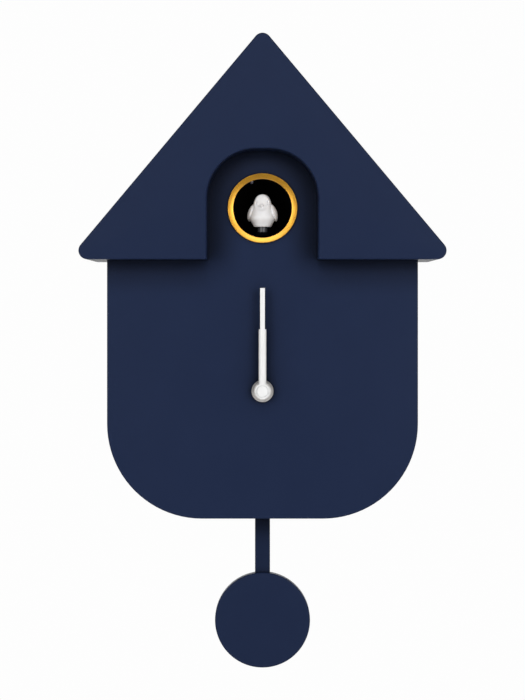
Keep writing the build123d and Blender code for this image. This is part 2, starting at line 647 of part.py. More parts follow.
def motor_armature():
    """Wound rotor on the motor's shaft."""
    shaft = bar_x(DRIVE_DEPTH, MOTOR_AXIS_Z, 0.75, 3.6, MOTOR_X + MOTOR_LENGTH - 0.8)
    core = bar_x(DRIVE_DEPTH, MOTOR_AXIS_Z, 5.9, MOTOR_X + 4, MOTOR_X + MOTOR_LENGTH - 8)
    for n in range(3):
        dy, dz = polar(5.9, 120.0 * n + 30)
        core -= bar_x(DRIVE_DEPTH - dy, MOTOR_AXIS_Z + dz, 0.9, MOTOR_X + 3, MOTOR_X + MOTOR_LENGTH)
    commutator = bar_x(DRIVE_DEPTH, MOTOR_AXIS_Z, 1.8, MOTOR_X + MOTOR_LENGTH - 8, MOTOR_X + MOTOR_LENGTH - 5)
    return shaft + core + commutator


def limit_switches():
    """Two leaf switches on the back and front plates that stop the motor at the ends of the slide's travel."""
    x0, x1 = -23.0, -16.0
    low, high = EAVES_Z - 12.0, EAVES_Z - 2.0
    front = block(x0, x1, FRAME_FRONT - FRAME_PLATE - 5, FRAME_FRONT - FRAME_PLATE, low, high)
    back = block(-14.0, -10.2, FRAME_BACK + FRAME_PLATE, FRAME_BACK + FRAME_PLATE + 5, low, high)
    return front + back


# ---------------------------------------------------------------------------------------------------------
# Quartz movement: each wheel is (x, z) from the hands' axis
MOTION_MODULE = 0.375
HOUR_MODULE = 0.3
TRAIN_MODULE = 0.25
FAST_MODULE = 0.2
CANNON_TEETH, MINUTE_WHEEL_TEETH, MINUTE_PINION_TEETH, HOUR_WHEEL_TEETH = 12, 36, 12, 48
CENTRE_TEETH, THIRD_PINION_TEETH, THIRD_TEETH = 64, 8, 60
FOURTH_PINION_TEETH, FOURTH_TEETH = 8, 60
KNOB_PINION_TEETH = 12

MINUTE_WHEEL_ANGLE = 135.0
KNOB_ANGLE = 135.0
THIRD_ANGLE = 300.0
FOURTH_ANGLE = 210.0


def step(start, teeth_a, teeth_b, module, angle):
    """Centre of a gear that meshes with the one at start, in the direction of angle."""
    dx, dz = polar(module * (teeth_a + teeth_b) / 2, angle)
    return start[0] + dx, start[1] + dz


HANDS_AXIS = (0.0, HANDS_Z)
MINUTE_WHEEL_AXIS = step(HANDS_AXIS, CANNON_TEETH, MINUTE_WHEEL_TEETH, MOTION_MODULE, MINUTE_WHEEL_ANGLE)
KNOB_AXIS = step(MINUTE_WHEEL_AXIS, MINUTE_WHEEL_TEETH, KNOB_PINION_TEETH, MOTION_MODULE, KNOB_ANGLE)
THIRD_AXIS = step(HANDS_AXIS, CENTRE_TEETH, THIRD_PINION_TEETH, TRAIN_MODULE, THIRD_ANGLE)
FOURTH_AXIS = step(THIRD_AXIS, THIRD_TEETH, FOURTH_PINION_TEETH, TRAIN_MODULE, FOURTH_ANGLE)
KNOB_X, KNOB_Z = KNOB_AXIS


def driver(teeth, module, angle, **shape):
    """Gear outline with a tooth pointing along angle."""
    return toothed(teeth, module, angle, **shape)


def driven(teeth, module, angle, **shape):
    """Gear outline with a gap pointing back along angle, so that it meshes with a driver there."""
    return toothed(teeth, module, angle + 180.0 + 180.0 / teeth, **shape)


PINION = {"share": 0.38, "addendum": 0.7}


def gear_y(axis, outline, near, far):
    """Gear whose arbor lies along the depth."""
    return slab(Pos(*axis) * outline, near, far)


# Layers inside the movement, as depths
HOUR_LAYER = (61.6, 62.6)
CANNON_LAYER = (59.4, 61.2)
MINUTE_WHEEL_LAYER = (59.7, 60.7)
CENTRE_LAYER = (57.7, 58.5)
THIRD_PINION_LAYER = (57.4, 58.8)
THIRD_LAYER = (55.9, 56.6)
FOURTH_PINION_LAYER = (55.6, 56.9)
FOURTH_LAYER = (54.2, 54.9)
MOVEMENT_FRONT = FACE_BACK - 0.1
MOVEMENT_FRONT_INNER = MOVEMENT_FRONT - MOVEMENT_WALL
MOVEMENT_REAR_INNER = MOVEMENT_BACK + MOVEMENT_WALL


def movement_square(inset=0.0):
    """Square section of the movement's case."""
    side = MOVEMENT_SIZE - 2 * inset
    return Pos(0, HANDS_Z) * RectangleRounded(side, side, 2.0)


def movement_case():
    """Front half of the movement's case, with the threaded post that goes through the face."""
    case = slab(movement_square(), MOVEMENT_SPLIT, MOVEMENT_FRONT)
    case -= slab(movement_square(MOVEMENT_WALL), MOVEMENT_SPLIT, MOVEMENT_FRONT_INNER)
    case += disc(0, HANDS_Z, POST_THREAD_RADIUS, MOVEMENT_FRONT, FACE + POST_LENGTH)
    for n in range(4):
        groove = FACE + 0.5 + 0.75 * n
        case -= tube(0, HANDS_Z, POST_THREAD_RADIUS + 1, POST_THREAD_RADIUS - 0.3, groove, groove + 0.3)
    case += disc(*MINUTE_WHEEL_AXIS, 0.7, MINUTE_WHEEL_LAYER[0] - 0.3, MOVEMENT_FRONT_INNER)
    case += disc(*MINUTE_WHEEL_AXIS, 1.4, HOUR_LAYER[1] + 0.1, MOVEMENT_FRONT_INNER)
    for axis in (THIRD_AXIS, FOURTH_AXIS):
        case += tube(*axis, 1.3, 0.4, THIRD_PINION_LAYER[1] + 0.3, MOVEMENT_FRONT_INNER)
    case -= disc(0, HANDS_Z, HOUR_PIPE_RADIUS + ARBOR_GAP, 0, CASE_DEPTH)
    return case


def movement_lid():
    """Rear half of the movement's case, with the rear pivots of the train."""
    lid = slab(movement_square(), MOVEMENT_BACK, MOVEMENT_SPLIT)
    lid -= slab(movement_square(MOVEMENT_WALL), MOVEMENT_REAR_INNER, MOVEMENT_SPLIT)
    for axis, top in ((HANDS_AXIS, CENTRE_LAYER[0]), (THIRD_AXIS, THIRD_LAYER[0]), (FOURTH_AXIS, FOURTH_LAYER[0])):
        lid += disc(*axis, 1.9, MOVEMENT_REAR_INNER, MOVEMENT_REAR_INNER + 2.0)
        lid -= disc(*axis, ARBOR_THIN + ARBOR_GAP, MOVEMENT_BACK + 0.6, MOVEMENT_SPLIT)
    lid -= disc(*KNOB_AXIS, KNOB_STEM_RADIUS + ARBOR_GAP, 0, CASE_DEPTH)
    return lid


ARBOR_THIN = 0.6
THIRD_PIVOT = 0.32


def minute_arbor():
    """Centre arbor: the minute hand's seat, the cannon pinion and the centre wheel."""
    arbor = disc(*HANDS_AXIS, MINUTE_ARBOR_RADIUS, CANNON_LAYER[1], MINUTE_HAND_DEPTH)
    arbor += disc(*HANDS_AXIS, 1.1, MINUTE_HAND_DEPTH, MINUTE_HAND_DEPTH + HAND_THICK + 1.2)
    arbor += gear_y(HANDS_AXIS, driver(CANNON_TEETH, MOTION_MODULE, MINUTE_WHEEL_ANGLE, **PINION), *CANNON_LAYER)
    arbor += disc(*HANDS_AXIS, 1.3, CENTRE_LAYER[1], CANNON_LAYER[0])
    arbor += gear_y(HANDS_AXIS, driver(CENTRE_TEETH, TRAIN_MODULE, THIRD_ANGLE), *CENTRE_LAYER)
    return arbor + disc(*HANDS_AXIS, ARBOR_THIN, MOVEMENT_BACK + 0.7, CENTRE_LAYER[0])


def hour_wheel():
    """Hour wheel and its pipe, which turns round the centre arbor inside the threaded post."""
    wheel = gear_y(HANDS_AXIS, driven(HOUR_WHEEL_TEETH, HOUR_MODULE, MINUTE_WHEEL_ANGLE + 180.0), *HOUR_LAYER)
    wheel += disc(*HANDS_AXIS, HOUR_PIPE_RADIUS, HOUR_LAYER[0], HOUR_HAND_DEPTH + HAND_THICK)
    return wheel - disc(*HANDS_AXIS, MINUTE_ARBOR_RADIUS + ARBOR_GAP, 0, CASE_DEPTH)


def minute_wheel():
    """Motion wheel on a fixed stud: driven by the cannon pinion, it drives the hour wheel."""
    wheel = gear_y(MINUTE_WHEEL_AXIS, driven(MINUTE_WHEEL_TEETH, MOTION_MODULE, MINUTE_WHEEL_ANGLE),
                   *MINUTE_WHEEL_LAYER)
    wheel += gear_y(MINUTE_WHEEL_AXIS, driver(MINUTE_PINION_TEETH, HOUR_MODULE, MINUTE_WHEEL_ANGLE + 180.0, **PINION),
                    MINUTE_WHEEL_LAYER[1], HOUR_LAYER[1])
    return wheel - disc(*MINUTE_WHEEL_AXIS, 0.7 + ARBOR_GAP, 0, CASE_DEPTH)


def third_wheel():
    """Third wheel: its pinion drives the centre wheel's slow turn."""
    wheel = gear_y(THIRD_AXIS, driven(THIRD_PINION_TEETH, TRAIN_MODULE, THIRD_ANGLE, **PINION), *THIRD_PINION_LAYER)
    wheel += gear_y(THIRD_AXIS, driver(THIRD_TEETH, TRAIN_MODULE, FOURTH_ANGLE), *THIRD_LAYER)
    wheel += disc(*THIRD_AXIS, 0.7, THIRD_LAYER[1], THIRD_PINION_LAYER[0])
    wheel += disc(*THIRD_AXIS, THIRD_PIVOT, THIRD_PINION_LAYER[1], THIRD_PINION_LAYER[1] + 1.6)
    return wheel + disc(*THIRD_AXIS, ARBOR_THIN, MOVEMENT_BACK + 0.7, THIRD_LAYER[0])


def fourth_wheel():
    """Seconds wheel, which turns once a minute."""
    wheel = gear_y(FOURTH_AXIS, driven(FOURTH_PINION_TEETH, TRAIN_MODULE, FOURTH_ANGLE, **PINION),
                   *FOURTH_PINION_LAYER)
    wheel += gear_y(FOURTH_AXIS, toothed(FOURTH_TEETH, FAST_MODULE), *FOURTH_LAYER)
    wheel += disc(*FOURTH_AXIS, 0.7, FOURTH_LAYER[1], FOURTH_PINION_LAYER[0])
    wheel += disc(*FOURTH_AXIS, THIRD_PIVOT, FOURTH_PINION_LAYER[1], THIRD_PINION_LAYER[1] + 1.6)
    return wheel + disc(*FOURTH_AXIS, ARBOR_THIN, MOVEMENT_BACK + 0.7, FOURTH_LAYER[0])


def knob_pinion_angle():
    """Direction of a tooth of the knob's pinion that lies in a gap of the motion wheel."""
    wheel_tooth = MINUTE_WHEEL_ANGLE + 180.0 + 180.0 / MINUTE_WHEEL_TEETH
    pitch = 360.0 / MINUTE_WHEEL_TEETH
    offset = (KNOB_ANGLE - wheel_tooth) % pitch
    return KNOB_ANGLE + 180.0 + 180.0 / KNOB_PINION_TEETH + offset * MINUTE_WHEEL_TEETH / KNOB_PINION_TEETH


def set_knob():
    """Setting knob in its well, with the long stem and pinion that turn the motion wheel."""
    knob = disc(*KNOB_AXIS, KNOB_RADIUS, 1.0, KNOB_WELL_FLOOR - 0.6)
    knob = chamfer(edges_at_depth(knob, 1.0), 0.6)
    ribs = 24
    for n in range(ribs):
        dx, dz = polar(KNOB_RADIUS, 360.0 * n / ribs)
        knob -= disc(KNOB_X + dx, KNOB_Z + dz, 0.35, 0, KNOB_WELL_FLOOR)
    knob += disc(*KNOB_AXIS, KNOB_STEM_RADIUS, KNOB_WELL_FLOOR - 0.6, MINUTE_WHEEL_LAYER[0] - 0.2)
    pinion = toothed(KNOB_PINION_TEETH, MOTION_MODULE, knob_pinion_angle(), **PINION)
    return knob + gear_y(KNOB_AXIS, pinion, MINUTE_WHEEL_LAYER[0] - 0.2, MINUTE_WHEEL_LAYER[1] + 0.2)


COIL_ROW_Z = HANDS_Z - 21.6


def stepper_stator():
    """Laminated stator plate of the stepping motor, round the rotor and through the coil."""
    plate = Pos(-12.0, COIL_ROW_Z) * Rectangle(20.0, 3.6)
    plate += Pos(-20.2, HANDS_Z - 14.6) * Rectangle(3.6, 17.6)
    plate += Pos(-17.0, HANDS_Z - 8.0) * Rectangle(10.0, 8.4)
    stator = slab(plate, 52.0, 53.4)
    return stator - disc(*ROTOR_AXIS, 3.2, 0, CASE_DEPTH)


ROTOR_AXIS = (-17.0, HANDS_Z - 8.0)


def stepper_coil():
    """Bobbin and winding of the stepping motor."""
    low, high = COIL_ROW_Z - 2.9, COIL_ROW_Z + 2.9
    coil = block(-15.0, -3.0, 51.2, 55.0, low + 0.3, high - 0.3)
    coil = fillet(coil.edges().filter_by(Axis.X), 1.2)
    coil += block(-16.2, -15.0, 50.9, 55.4, low, high) + block(-3.0, -1.8, 50.9, 55.4, low, high)
    return coil - block(-30, 0, 52.0, 53.4, COIL_ROW_Z - 1.8, COIL_ROW_Z + 1.8)


def movement_board():
    """Circuit board of the movement with its crystal can and chip."""
    board = block(-1.0, 25.0, 51.2, 52.2, HANDS_Z - 25.0, HANDS_Z - 16.0)
    board += block(8.0, 14.0, 52.2, 53.6, HANDS_Z - 23.5, HANDS_Z - 18.5)
    board -= block(-2, 0.2, 50, 56, HANDS_Z - 26, HANDS_Z - 14)
    return board + bar_z(20.0, 53.3, 1.1, HANDS_Z - 23.5, HANDS_Z - 17.5)


# ---------------------------------------------------------------------------------------------------------
# Hands and their fixing
def hand_nut():
    """Round fixing nut with a coned rim and a dished centre, on the movement's threaded post."""
    base, top = FACE, FACE + 3.6
    nut = disc(0, HANDS_Z, NUT_RADIUS, base, top)
    nut = chamfer(edges_at_depth(nut, top), 1.3)
    nut -= disc(0, HANDS_Z, NUT_RADIUS - 1.9, top - 0.7, top)
    return nut - disc(0, HANDS_Z, POST_THREAD_RADIUS, 0, CASE_DEPTH)


def rubber_washer():
    """Soft washer between the movement and the inside of the face."""
    return tube(0, HANDS_Z, 9.0, POST_THREAD_RADIUS + 0.3, MOVEMENT_FRONT, FACE_BACK)


def hand(length, width, hub_radius, bore, near):
    """Flat baton hand pointing to twelve, with a round hub."""
    baton = Pos(0, HANDS_Z + length / 2) * Rectangle(width, length)
    sheet = baton + Pos(0, HANDS_Z) * Circle(hub_radius)
    blade = slab(sheet, near, near + HAND_THICK)
    blade -= disc(0, HANDS_Z, bore, 0, CASE_DEPTH)
    return blade


def hour_hand():
    """Short wide hand, pressed on the hour wheel's pipe."""
    return hand(HOUR_HAND_LENGTH, HOUR_HAND_WIDTH, HUB_RADIUS - 0.3, HOUR_PIPE_RADIUS, HOUR_HAND_DEPTH)


def minute_hand():
    """Long narrow hand, seated on the centre arbor's shoulder."""
    return hand(MINUTE_HAND_LENGTH, MINUTE_HAND_WIDTH, HUB_RADIUS, 1.1, MINUTE_HAND_DEPTH)


def hand_cap():
    """Closed cap that hides the end of the arbor."""
    near = MINUTE_HAND_DEPTH + HAND_THICK
    cap = disc(0, HANDS_Z, CAP_RADIUS, near, near + 1.7)
    cap = fillet(edges_at_depth(cap, near + 1.7), 0.5)
    return cap - disc(0, HANDS_Z, 1.1, near, near + 1.2)


# ---------------------------------------------------------------------------------------------------------
# Pendulum and its drive
COIL_Z = PIVOT_Z - 14.0
DRIVE_CASE = (37.2, MOVEMENT_BACK - 0.1)
LEVER = (42.0, 45.0)


def pendulum_drive_case():
    """Housing of the pendulum drive behind the movement, open below where the lever hangs out."""
    near, far = DRIVE_CASE
    case = block(-18, 18, near, far, PIVOT_Z - 24, PIVOT_Z + 7)
    case -= block(-16.5, 16.5, near + 1.5, far - 1.5, PIVOT_Z - 30, PIVOT_Z + 5.5)
    return case - disc(0, PIVOT_Z, PIVOT_RADIUS, near, far)


def drive_coil():
    """Flat coil that kicks the pendulum's magnet once a swing."""
    return tube(0, COIL_Z, 5.5, 1.2, LEVER[1] + 0.6, DRIVE_CASE[1] - 1.5)


def pivot_pin():
    """Steel pin across the drive's housing."""
    return disc(0, PIVOT_Z, PIVOT_RADIUS, *DRIVE_CASE)


def pendulum_lever():
    """Lever hung on the pivot pin; its forked foot takes the rod's eye and hook pin."""
    near, far = LEVER
    lever = disc(0, PIVOT_Z, 3.2, near, far)
    lever += block(-2.6, 2.6, near, far, PIVOT_Z - 26, PIVOT_Z)
    lever += disc(0, COIL_Z, 5.0, near, far)
    lever -= disc(0, COIL_Z, 3.5, near, far)
    lever += block(-3.6, 3.6, ROD_BACK - 1.8, ROD_BACK + ROD_THICK + 1.8, PIVOT_Z - 38, PIVOT_Z - 26)
    lever -= block(-5, 5, ROD_BACK - 0.1, ROD_BACK + ROD_THICK + 0.1, PIVOT_Z - 40, PIVOT_Z - 29)
    lever -= disc(0, HOOK_Z, HOOK_RADIUS, 0, CASE_DEPTH)
    return lever - disc(0, PIVOT_Z, PIVOT_RADIUS + 0.06, 0, CASE_DEPTH)


HOOK_Z = PIVOT_Z - 34.5
HOOK_RADIUS = 1.0


def pendulum_magnet():
    """Round magnet pressed into the lever, opposite the coil."""
    return disc(0, COIL_Z, 3.5, LEVER[0] + 0.2, LEVER[1])


def hook_pin():
    """Pin in the lever's foot that the rod hangs from."""
    return disc(0, HOOK_Z, HOOK_RADIUS, ROD_BACK - 1.8, ROD_BACK + ROD_THICK + 1.8)


def pendulum_rod():
    """Flat bar from the hook pin down into the bob."""
    top, bottom = HOOK_Z + 3.2, BOB_Z - 14.0
    sheet = Pos(0, (top + bottom) / 2 - 4) * Rectangle(ROD_WIDTH, top - bottom - 8)
    sheet += Pos(0, top - 5.5) * Rectangle(6.2, 11.0)
    rod = slab(sheet, ROD_BACK, ROD_BACK + ROD_THICK)
    front = edges_at_depth(rod, ROD_BACK + ROD_THICK).filter_by(Axis.Z).filter_by(
        lambda e: abs(e.center().X) > ROD_WIDTH / 2 - 0.1)
    rod = fillet(front, 0.5)
    rod -= disc(0, HOOK_Z, HOOK_RADIUS, 0, CASE_DEPTH)
    return rod - disc(0, BOB_Z, CLEARANCE_RADIUS, 0, CASE_DEPTH)


BOB_SPLIT = 43.5
BOB_SCREW_SEAT = BOB_BACK + 2.0


def rod_channel():
    """Room for the rod between the two halves of the bob."""
    half = ROD_WIDTH / 2 + 0.1
    return block(-half, half, ROD_BACK, ROD_BACK + ROD_THICK, BOB_Z - 14.0, BOB_Z + 2 * BOB_RADIUS)


def bob_front():
    """Front half of the bob: a slightly crowned disc with a skirt."""
    crown_radius = (BOB_RADIUS**2 + BOB_CROWN**2) / (2 * BOB_CROWN)
    bob = disc(0, BOB_Z, BOB_RADIUS, BOB_SPLIT, BOB_FRONT)
    ball = Pos(0, -(BOB_FRONT - crown_radius), BOB_Z) * Sphere(crown_radius)
    bob = bob & ball
    bob = fillet(bob.edges().group_by(Axis.Y)[0], 1.0)
    room = disc(0, BOB_Z, BOB_RADIUS - BOB_SKIN, BOB_SPLIT, BOB_FRONT - BOB_CROWN - BOB_SKIN)
    bob -= room
    bob += disc(0, BOB_Z, 3.4, ROD_BACK + ROD_THICK, BOB_FRONT - BOB_CROWN - 1.0)
    bob -= disc(0, BOB_Z, PILOT_RADIUS, ROD_BACK + ROD_THICK, BOB_FRONT - 1.0)
    return bob - rod_channel()


def bob_back():
    """Back half of the bob: a flat cover with a skirt and a screw hole."""
    bob = disc(0, BOB_Z, BOB_RADIUS, BOB_BACK, BOB_SPLIT - 0.05)
    bob = fillet(edges_at_depth(bob, BOB_BACK), 1.0)
    bob -= disc(0, BOB_Z, BOB_RADIUS - BOB_SKIN, ROD_BACK, BOB_SPLIT)
    bob -= disc(0, BOB_Z, SCREW_HEAD_RADIUS + 0.3, BOB_BACK, BOB_SCREW_SEAT)
    bob -= disc(0, BOB_Z, CLEARANCE_RADIUS, BOB_BACK, ROD_BACK)
    return bob - rod_channel()


def bob_weights():
    """Two steel half-moon weights either side of the rod inside the bob."""
    half = ROD_WIDTH / 2 + 0.5
    whole = disc(0, BOB_Z, BOB_RADIUS - BOB_SKIN - 0.5, ROD_BACK + 0.2, ROD_BACK + 3.4)
    return whole - block(-half, half, 0, CASE_DEPTH, BOB_Z - 40, BOB_Z + 40)


def bob_screw():
    """Screw that clamps the two halves of the bob on the rod."""
    return pan_screw(0, BOB_Z, BOB_SCREW_SEAT, 5.8)


# ---------------------------------------------------------------------------------------------------------
# Batteries
def cell_x(n):
    """Centre of one battery."""
    return (n - (CELL_COUNT - 1) / 2) * CELL_PITCH


CELL_DEPTH = 16.4
CELL_BOTTOM_Z = BAY_CENTRE_Z - CELL_LENGTH / 2 - 0.6


def battery_box():
    """Moulded box for three batteries, with ribs between them and a rim that the door rests on."""
    outer = Pos(0, BAY_CENTRE_Z) * Rectangle(2 * (BAY_HALF_WIDTH + BAY_WALL), 2 * (BAY_HALF_HEIGHT + BAY_WALL))
    inner = Pos(0, BAY_CENTRE_Z) * Rectangle(2 * BAY_HALF_WIDTH, 2 * BAY_HALF_HEIGHT)
    rim = Pos(0, BAY_CENTRE_Z) * Rectangle(2 * (BAY_HALF_WIDTH + 3.2), 2 * (BAY_HALF_HEIGHT + 3.2))
    box = slab(outer, BACK_PLATE, BAY_FLOOR) + slab(rim, BACK_PLATE, BACK_PLATE + 1.5)
    box -= slab(inner, 0, BAY_FLOOR - BAY_WALL)
    for n in range(CELL_COUNT - 1):
        x = (cell_x(n) + cell_x(n + 1)) / 2
        box += block(x - 0.6, x + 0.6, 19.5, BAY_FLOOR, BAY_CENTRE_Z - BAY_HALF_HEIGHT,
                     BAY_CENTRE_Z + BAY_HALF_HEIGHT)
    return box


def battery_cells():
    """Three C cells, the middle one upside down, so that they join in series."""
    cells = Part()
    for n in range(CELL_COUNT):
        x = cell_x(n)
        upright = n % 2 == 0
        low = CELL_BOTTOM_Z + (1.7 if upright else 0.2)
        body = bar_z(x, CELL_DEPTH, CELL_RADIUS, low, low + CELL_LENGTH)
        body = fillet(body.edges().filter_by(GeomType.CIRCLE), 0.8)
        nub_low = low + CELL_LENGTH if upright else low - 1.5
        cells += body + bar_z(x, CELL_DEPTH, 3.2, nub_low, nub_low + 1.5)
    return cells


def spring_end(n):
    """Low and high z of one contact spring and whether it is at the bottom."""
    upright = n % 2 == 0
    if upright:
        return BAY_CENTRE_Z - BAY_HALF_HEIGHT + 0.4, CELL_BOTTOM_Z + 1.7
    return CELL_BOTTOM_Z + 0.2 + CELL_LENGTH, BAY_CENTRE_Z + BAY_HALF_HEIGHT - 0.4


def contact_springs():
    """Coned wire springs that press on the flat ends of the batteries."""
    wire = 0.35
    springs = Part()
    for n in range(CELL_COUNT):
        low, high = spring_end(n)
        height = high - low - 2 * wire - 0.06
        path = Helix(pitch=height / 2.5, height=height, radius=5.0)
        start = path @ 0
        profile = Plane(origin=start, z_dir=path % 0) * Circle(wire)
        coil = sweep(profile, path=path)
        springs += Pos(cell_x(n), -CELL_DEPTH, low + wire + 0.03) * coil
    return springs


def contact_plates():
    """Nickel contact strips at the two ends of the battery box."""
    low = BAY_CENTRE_Z - BAY_HALF_HEIGHT
    high = BAY_CENTRE_Z + BAY_HALF_HEIGHT
    left, middle, right = (cell_x(n) for n in range(CELL_COUNT))
    plates = block(left - 7, left + 7, 9.5, 19.0, low, low + 0.4)
    plates += block(middle - 7, right + 7, 9.5, 19.0, low, low + 0.4)
    plates += block(left - 7, middle + 7, 9.5, 19.0, high - 0.4, high)
    plates += block(right - 7, right + 7, 9.5, 19.0, high - 0.4, high)
    return plates


def battery_contacts():
    """Strips and springs together."""
    return contact_plates() + contact_springs()


def battery_door():
    """Lift-off door, flush with the back, with a thumb groove and a snap tongue."""
    near, far = 0.4, 0.4 + DOOR_THICK
    outline = Pos(0, BAY_CENTRE_Z) * RectangleRounded(2 * DOOR_HALF_WIDTH, 2 * DOOR_HALF_HEIGHT, 1.2)
    door = slab(outline, near, far)
    door = chamfer(edges_at_depth(door, near), 0.4)
    for n in range(4):
        z = BAY_CENTRE_Z + DOOR_HALF_HEIGHT - 7 - 2.2 * n
        door -= Pos(0, -near, z) * Rot(X=45) * Box(18.0 - 2.5 * n, 0.9, 0.9)
    sides = block(-12.6, -11.8, near, far, BAY_CENTRE_Z + DOOR_HALF_HEIGHT - 6.8, BAY_CENTRE_Z + DOOR_HALF_HEIGHT)
    return door - sides - Pos(24.4, 0, 0) * sides


# ---------------------------------------------------------------------------------------------------------
# Speaker, board and switch
def speaker_frame():
    """Pressed frame of the small loudspeaker, facing the sound holes in the back."""
    near = BACK_PLATE + 0.3
    frame = disc(SPEAKER_X, SPEAKER_Z, SPEAKER_RADIUS, near, near + 1.6)
    frame += slab(Pos(SPEAKER_X, SPEAKER_Z) * Circle(14.0), near + 1.6, near + 8.0)
    cone_room = Pos(SPEAKER_X, -near, SPEAKER_Z) * Rot(X=90) * Cone(
        19.0, 8.0, 6.6, align=(Align.CENTER, Align.CENTER, Align.MIN))
    magnet = disc(SPEAKER_X, SPEAKER_Z, 11.0, near + 8.0, near + 12.0)
    return frame - cone_room + magnet + disc(SPEAKER_X, SPEAKER_Z, 9.5, near + 12.0, near + 14.0)


def speaker_cone():
    """Thin paper cone with a dust cap."""
    near = BACK_PLATE + 0.3
    place = Pos(SPEAKER_X, -near, SPEAKER_Z) * Rot(X=90)
    low = (Align.CENTER, Align.CENTER, Align.MIN)
    cone = Cone(18.95, 7.95, 6.6, align=low) - Pos(0, 0, -0.6) * Cone(19.3, 8.3, 6.8, align=low)
    dust_cap = (Sphere(5.6) - Sphere(5.2)) & Pos(0, 0, 3.2) * Cylinder(7, 5, align=low)
    return place * (cone + Pos(0, 0, 0.6) * dust_cap)


def main_board():
    """Circuit board that plays the call and runs the bird's motor."""
    board = block(BOARD_LEFT_X, BOARD_RIGHT_X, BOARD_BACK, BOARD_BACK + BOARD_THICK, BOARD_BOTTOM_Z, BOARD_TOP_Z)
    for x, z in BOARD_SCREWS:
        board -= disc(x, z, CLEARANCE_RADIUS, 0, CASE_DEPTH)
    return board + board_parts()


def board_parts():
    """Sound chip, driver chip and three capacitors on the board."""
    top = BOARD_BACK + BOARD_THICK
    parts = block(-74, -64, top, top + 1.6, EAVES_Z - 50, EAVES_Z - 42)
    parts += block(-58, -50, top, top + 1.6, EAVES_Z - 46, EAVES_Z - 40)
    for x, z in ((-76, -60), (-66, -60), (-52, -58)):
        parts += disc(x, EAVES_Z + z, 2.6, top, top + 7.0)
    return parts


def board_screws():
    """Two screws that hold the board to the back panel."""
    screws = Part()
    for x, z in BOARD_SCREWS:
        screws += pan_screw(x, z, BOARD_BACK + BOARD_THICK, 5.8, inward=-1)
    return screws


def switch_body():
    """Metal-cased slide switch on the board, behind its slot in the back panel."""
    body = block(SWITCH_X - 6, SWITCH_X + 6, BACK_PLATE + 0.1, BOARD_BACK, SWITCH_Z - 3.2, SWITCH_Z + 3.2)
    half = SWITCH_TRAVEL + 1.8
    return body - block(SWITCH_X - half, SWITCH_X + half, 0, BOARD_BACK - 0.8, SWITCH_Z - 1.7, SWITCH_Z + 1.7)


def switch_slider():
    """Thumb piece of the volume switch: loud, quiet and off."""
    slider = block(SWITCH_X - 1.6, SWITCH_X + 1.6, 0.7, BOARD_BACK - 1.0, SWITCH_Z - 1.5, SWITCH_Z + 1.5)
    for n in (-1, 0, 1):
        slider -= block(SWITCH_X + n - 0.2, SWITCH_X + n + 0.2, 0.7, 1.0, SWITCH_Z - 1.5, SWITCH_Z + 1.5)
    return slider


# ---------------------------------------------------------------------------------------------------------
# Leads
def lead(points, radius=0.7):
    """Twin lead along straight runs joined by arcs as large as the runs allow."""
    vectors = [Vector(x, -depth, z) for x, depth, z in points]
    radii = []
    for before, here, after in zip(vectors, vectors[1:], vectors[2:]):
        run = min((here - before).length, (after - here).length)
        turn = (here - before).get_angle(after - here)
        radii.append(0.45 * run / tan(radians(turn / 2)))
    path = FilletPolyline(*vectors, radius=radii)
    section = Plane(origin=path @ 0, z_dir=path % 0) * Circle(radius)
    return sweep(section, path=path)


def battery_lead():
    """From the battery box's side up to the board."""
    low, high = BAY_CENTRE_Z + 16.0, BOARD_BOTTOM_Z + 7.0
    return lead(((-43.0, 12.0, low), (-49.0, 12.0, low), (-56.0, 13.0, low + 8), (-62.0, 15.0, high - 12),
                 (-62.0, 15.0, high), (-62.0, 8.2, high)))


def speaker_lead():
    """From the board across to the speaker's basket."""
    z = EAVES_Z - 29.0
    return lead(((-44.0, 8.2, z), (-44.0, 12.0, z), (-34.0, 12.0, z), (-18.0, 11.0, z - 1.0), (0.0, 10.0, z - 3.0),
                 (20.0, 10.0, z - 5.0), (34.0, 10.0, SPEAKER_Z), (SPEAKER_X - 14.0, 10.0, SPEAKER_Z)))


def motor_lead():
    """From the board to the motor's solder tags."""
    z = EAVES_Z - 35.0
    return lead(((-46.0, 8.2, z), (-46.0, 16.0, z), (-36.0, 24.0, z - 3.0), (-20.0, 30.0, z - 5.0),
                 (0.0, 33.0, z - 5.0), (20.0, 33.0, z - 3.0), (36.0, 32.0, z + 2.0), (44.0, 31.5, z + 9.0),
                 (44.0, 29.0, MOTOR_AXIS_Z), (37.6, 28.4, MOTOR_AXIS_Z)))


def movement_lead():
    """From the board to the movement and the pendulum drive."""
    z = EAVES_Z - 54.0
    return lead(((-47.0, 8.2, z), (-47.0, 16.0, z), (-41.0, 28.0, z - 4.0), (-38.0, 40.0, z - 8.0),
                 (-35.5, 50.0, z - 13.0), (-33.0, 53.0, z - 14.0), (-28.0, 53.0, z - 14.0)))


def sensor_lead():
    """From the light sensor round the tunnel down to the board."""
    dx, dz = polar(TUNNEL_BORE + TUNNEL_WALL + 1.3, SENSOR_ANGLE)
    x, z = dx, WINDOW_Z + dz
    return lead(((x, SENSOR_DEPTH, z), (x - 4.0, SENSOR_DEPTH - 1.0, z + 6.0),
                 (x - 16.0, SENSOR_DEPTH - 6.0, z + 4.0), (x - 30.0, SENSOR_DEPTH - 18.0, z - 14.0),
                 (x - 42.0, SENSOR_DEPTH - 34.0, z - 36.0), (x - 49.0, 16.0, z - 58.0), (x - 49.0, 14.0, z - 70.0),
                 (x - 49.0, 8.2, z - 70.0)), radius=0.5)


def case_screws():
    """All the screws of the case: through the back panel and from inside into the roof."""
    return rear_cover_screws() + roof_screws()


def inner_screws():
    """The short screws inside: hanging plate, bird drive and circuit board."""
    return hanger_screws() + frame_screws() + board_screws()


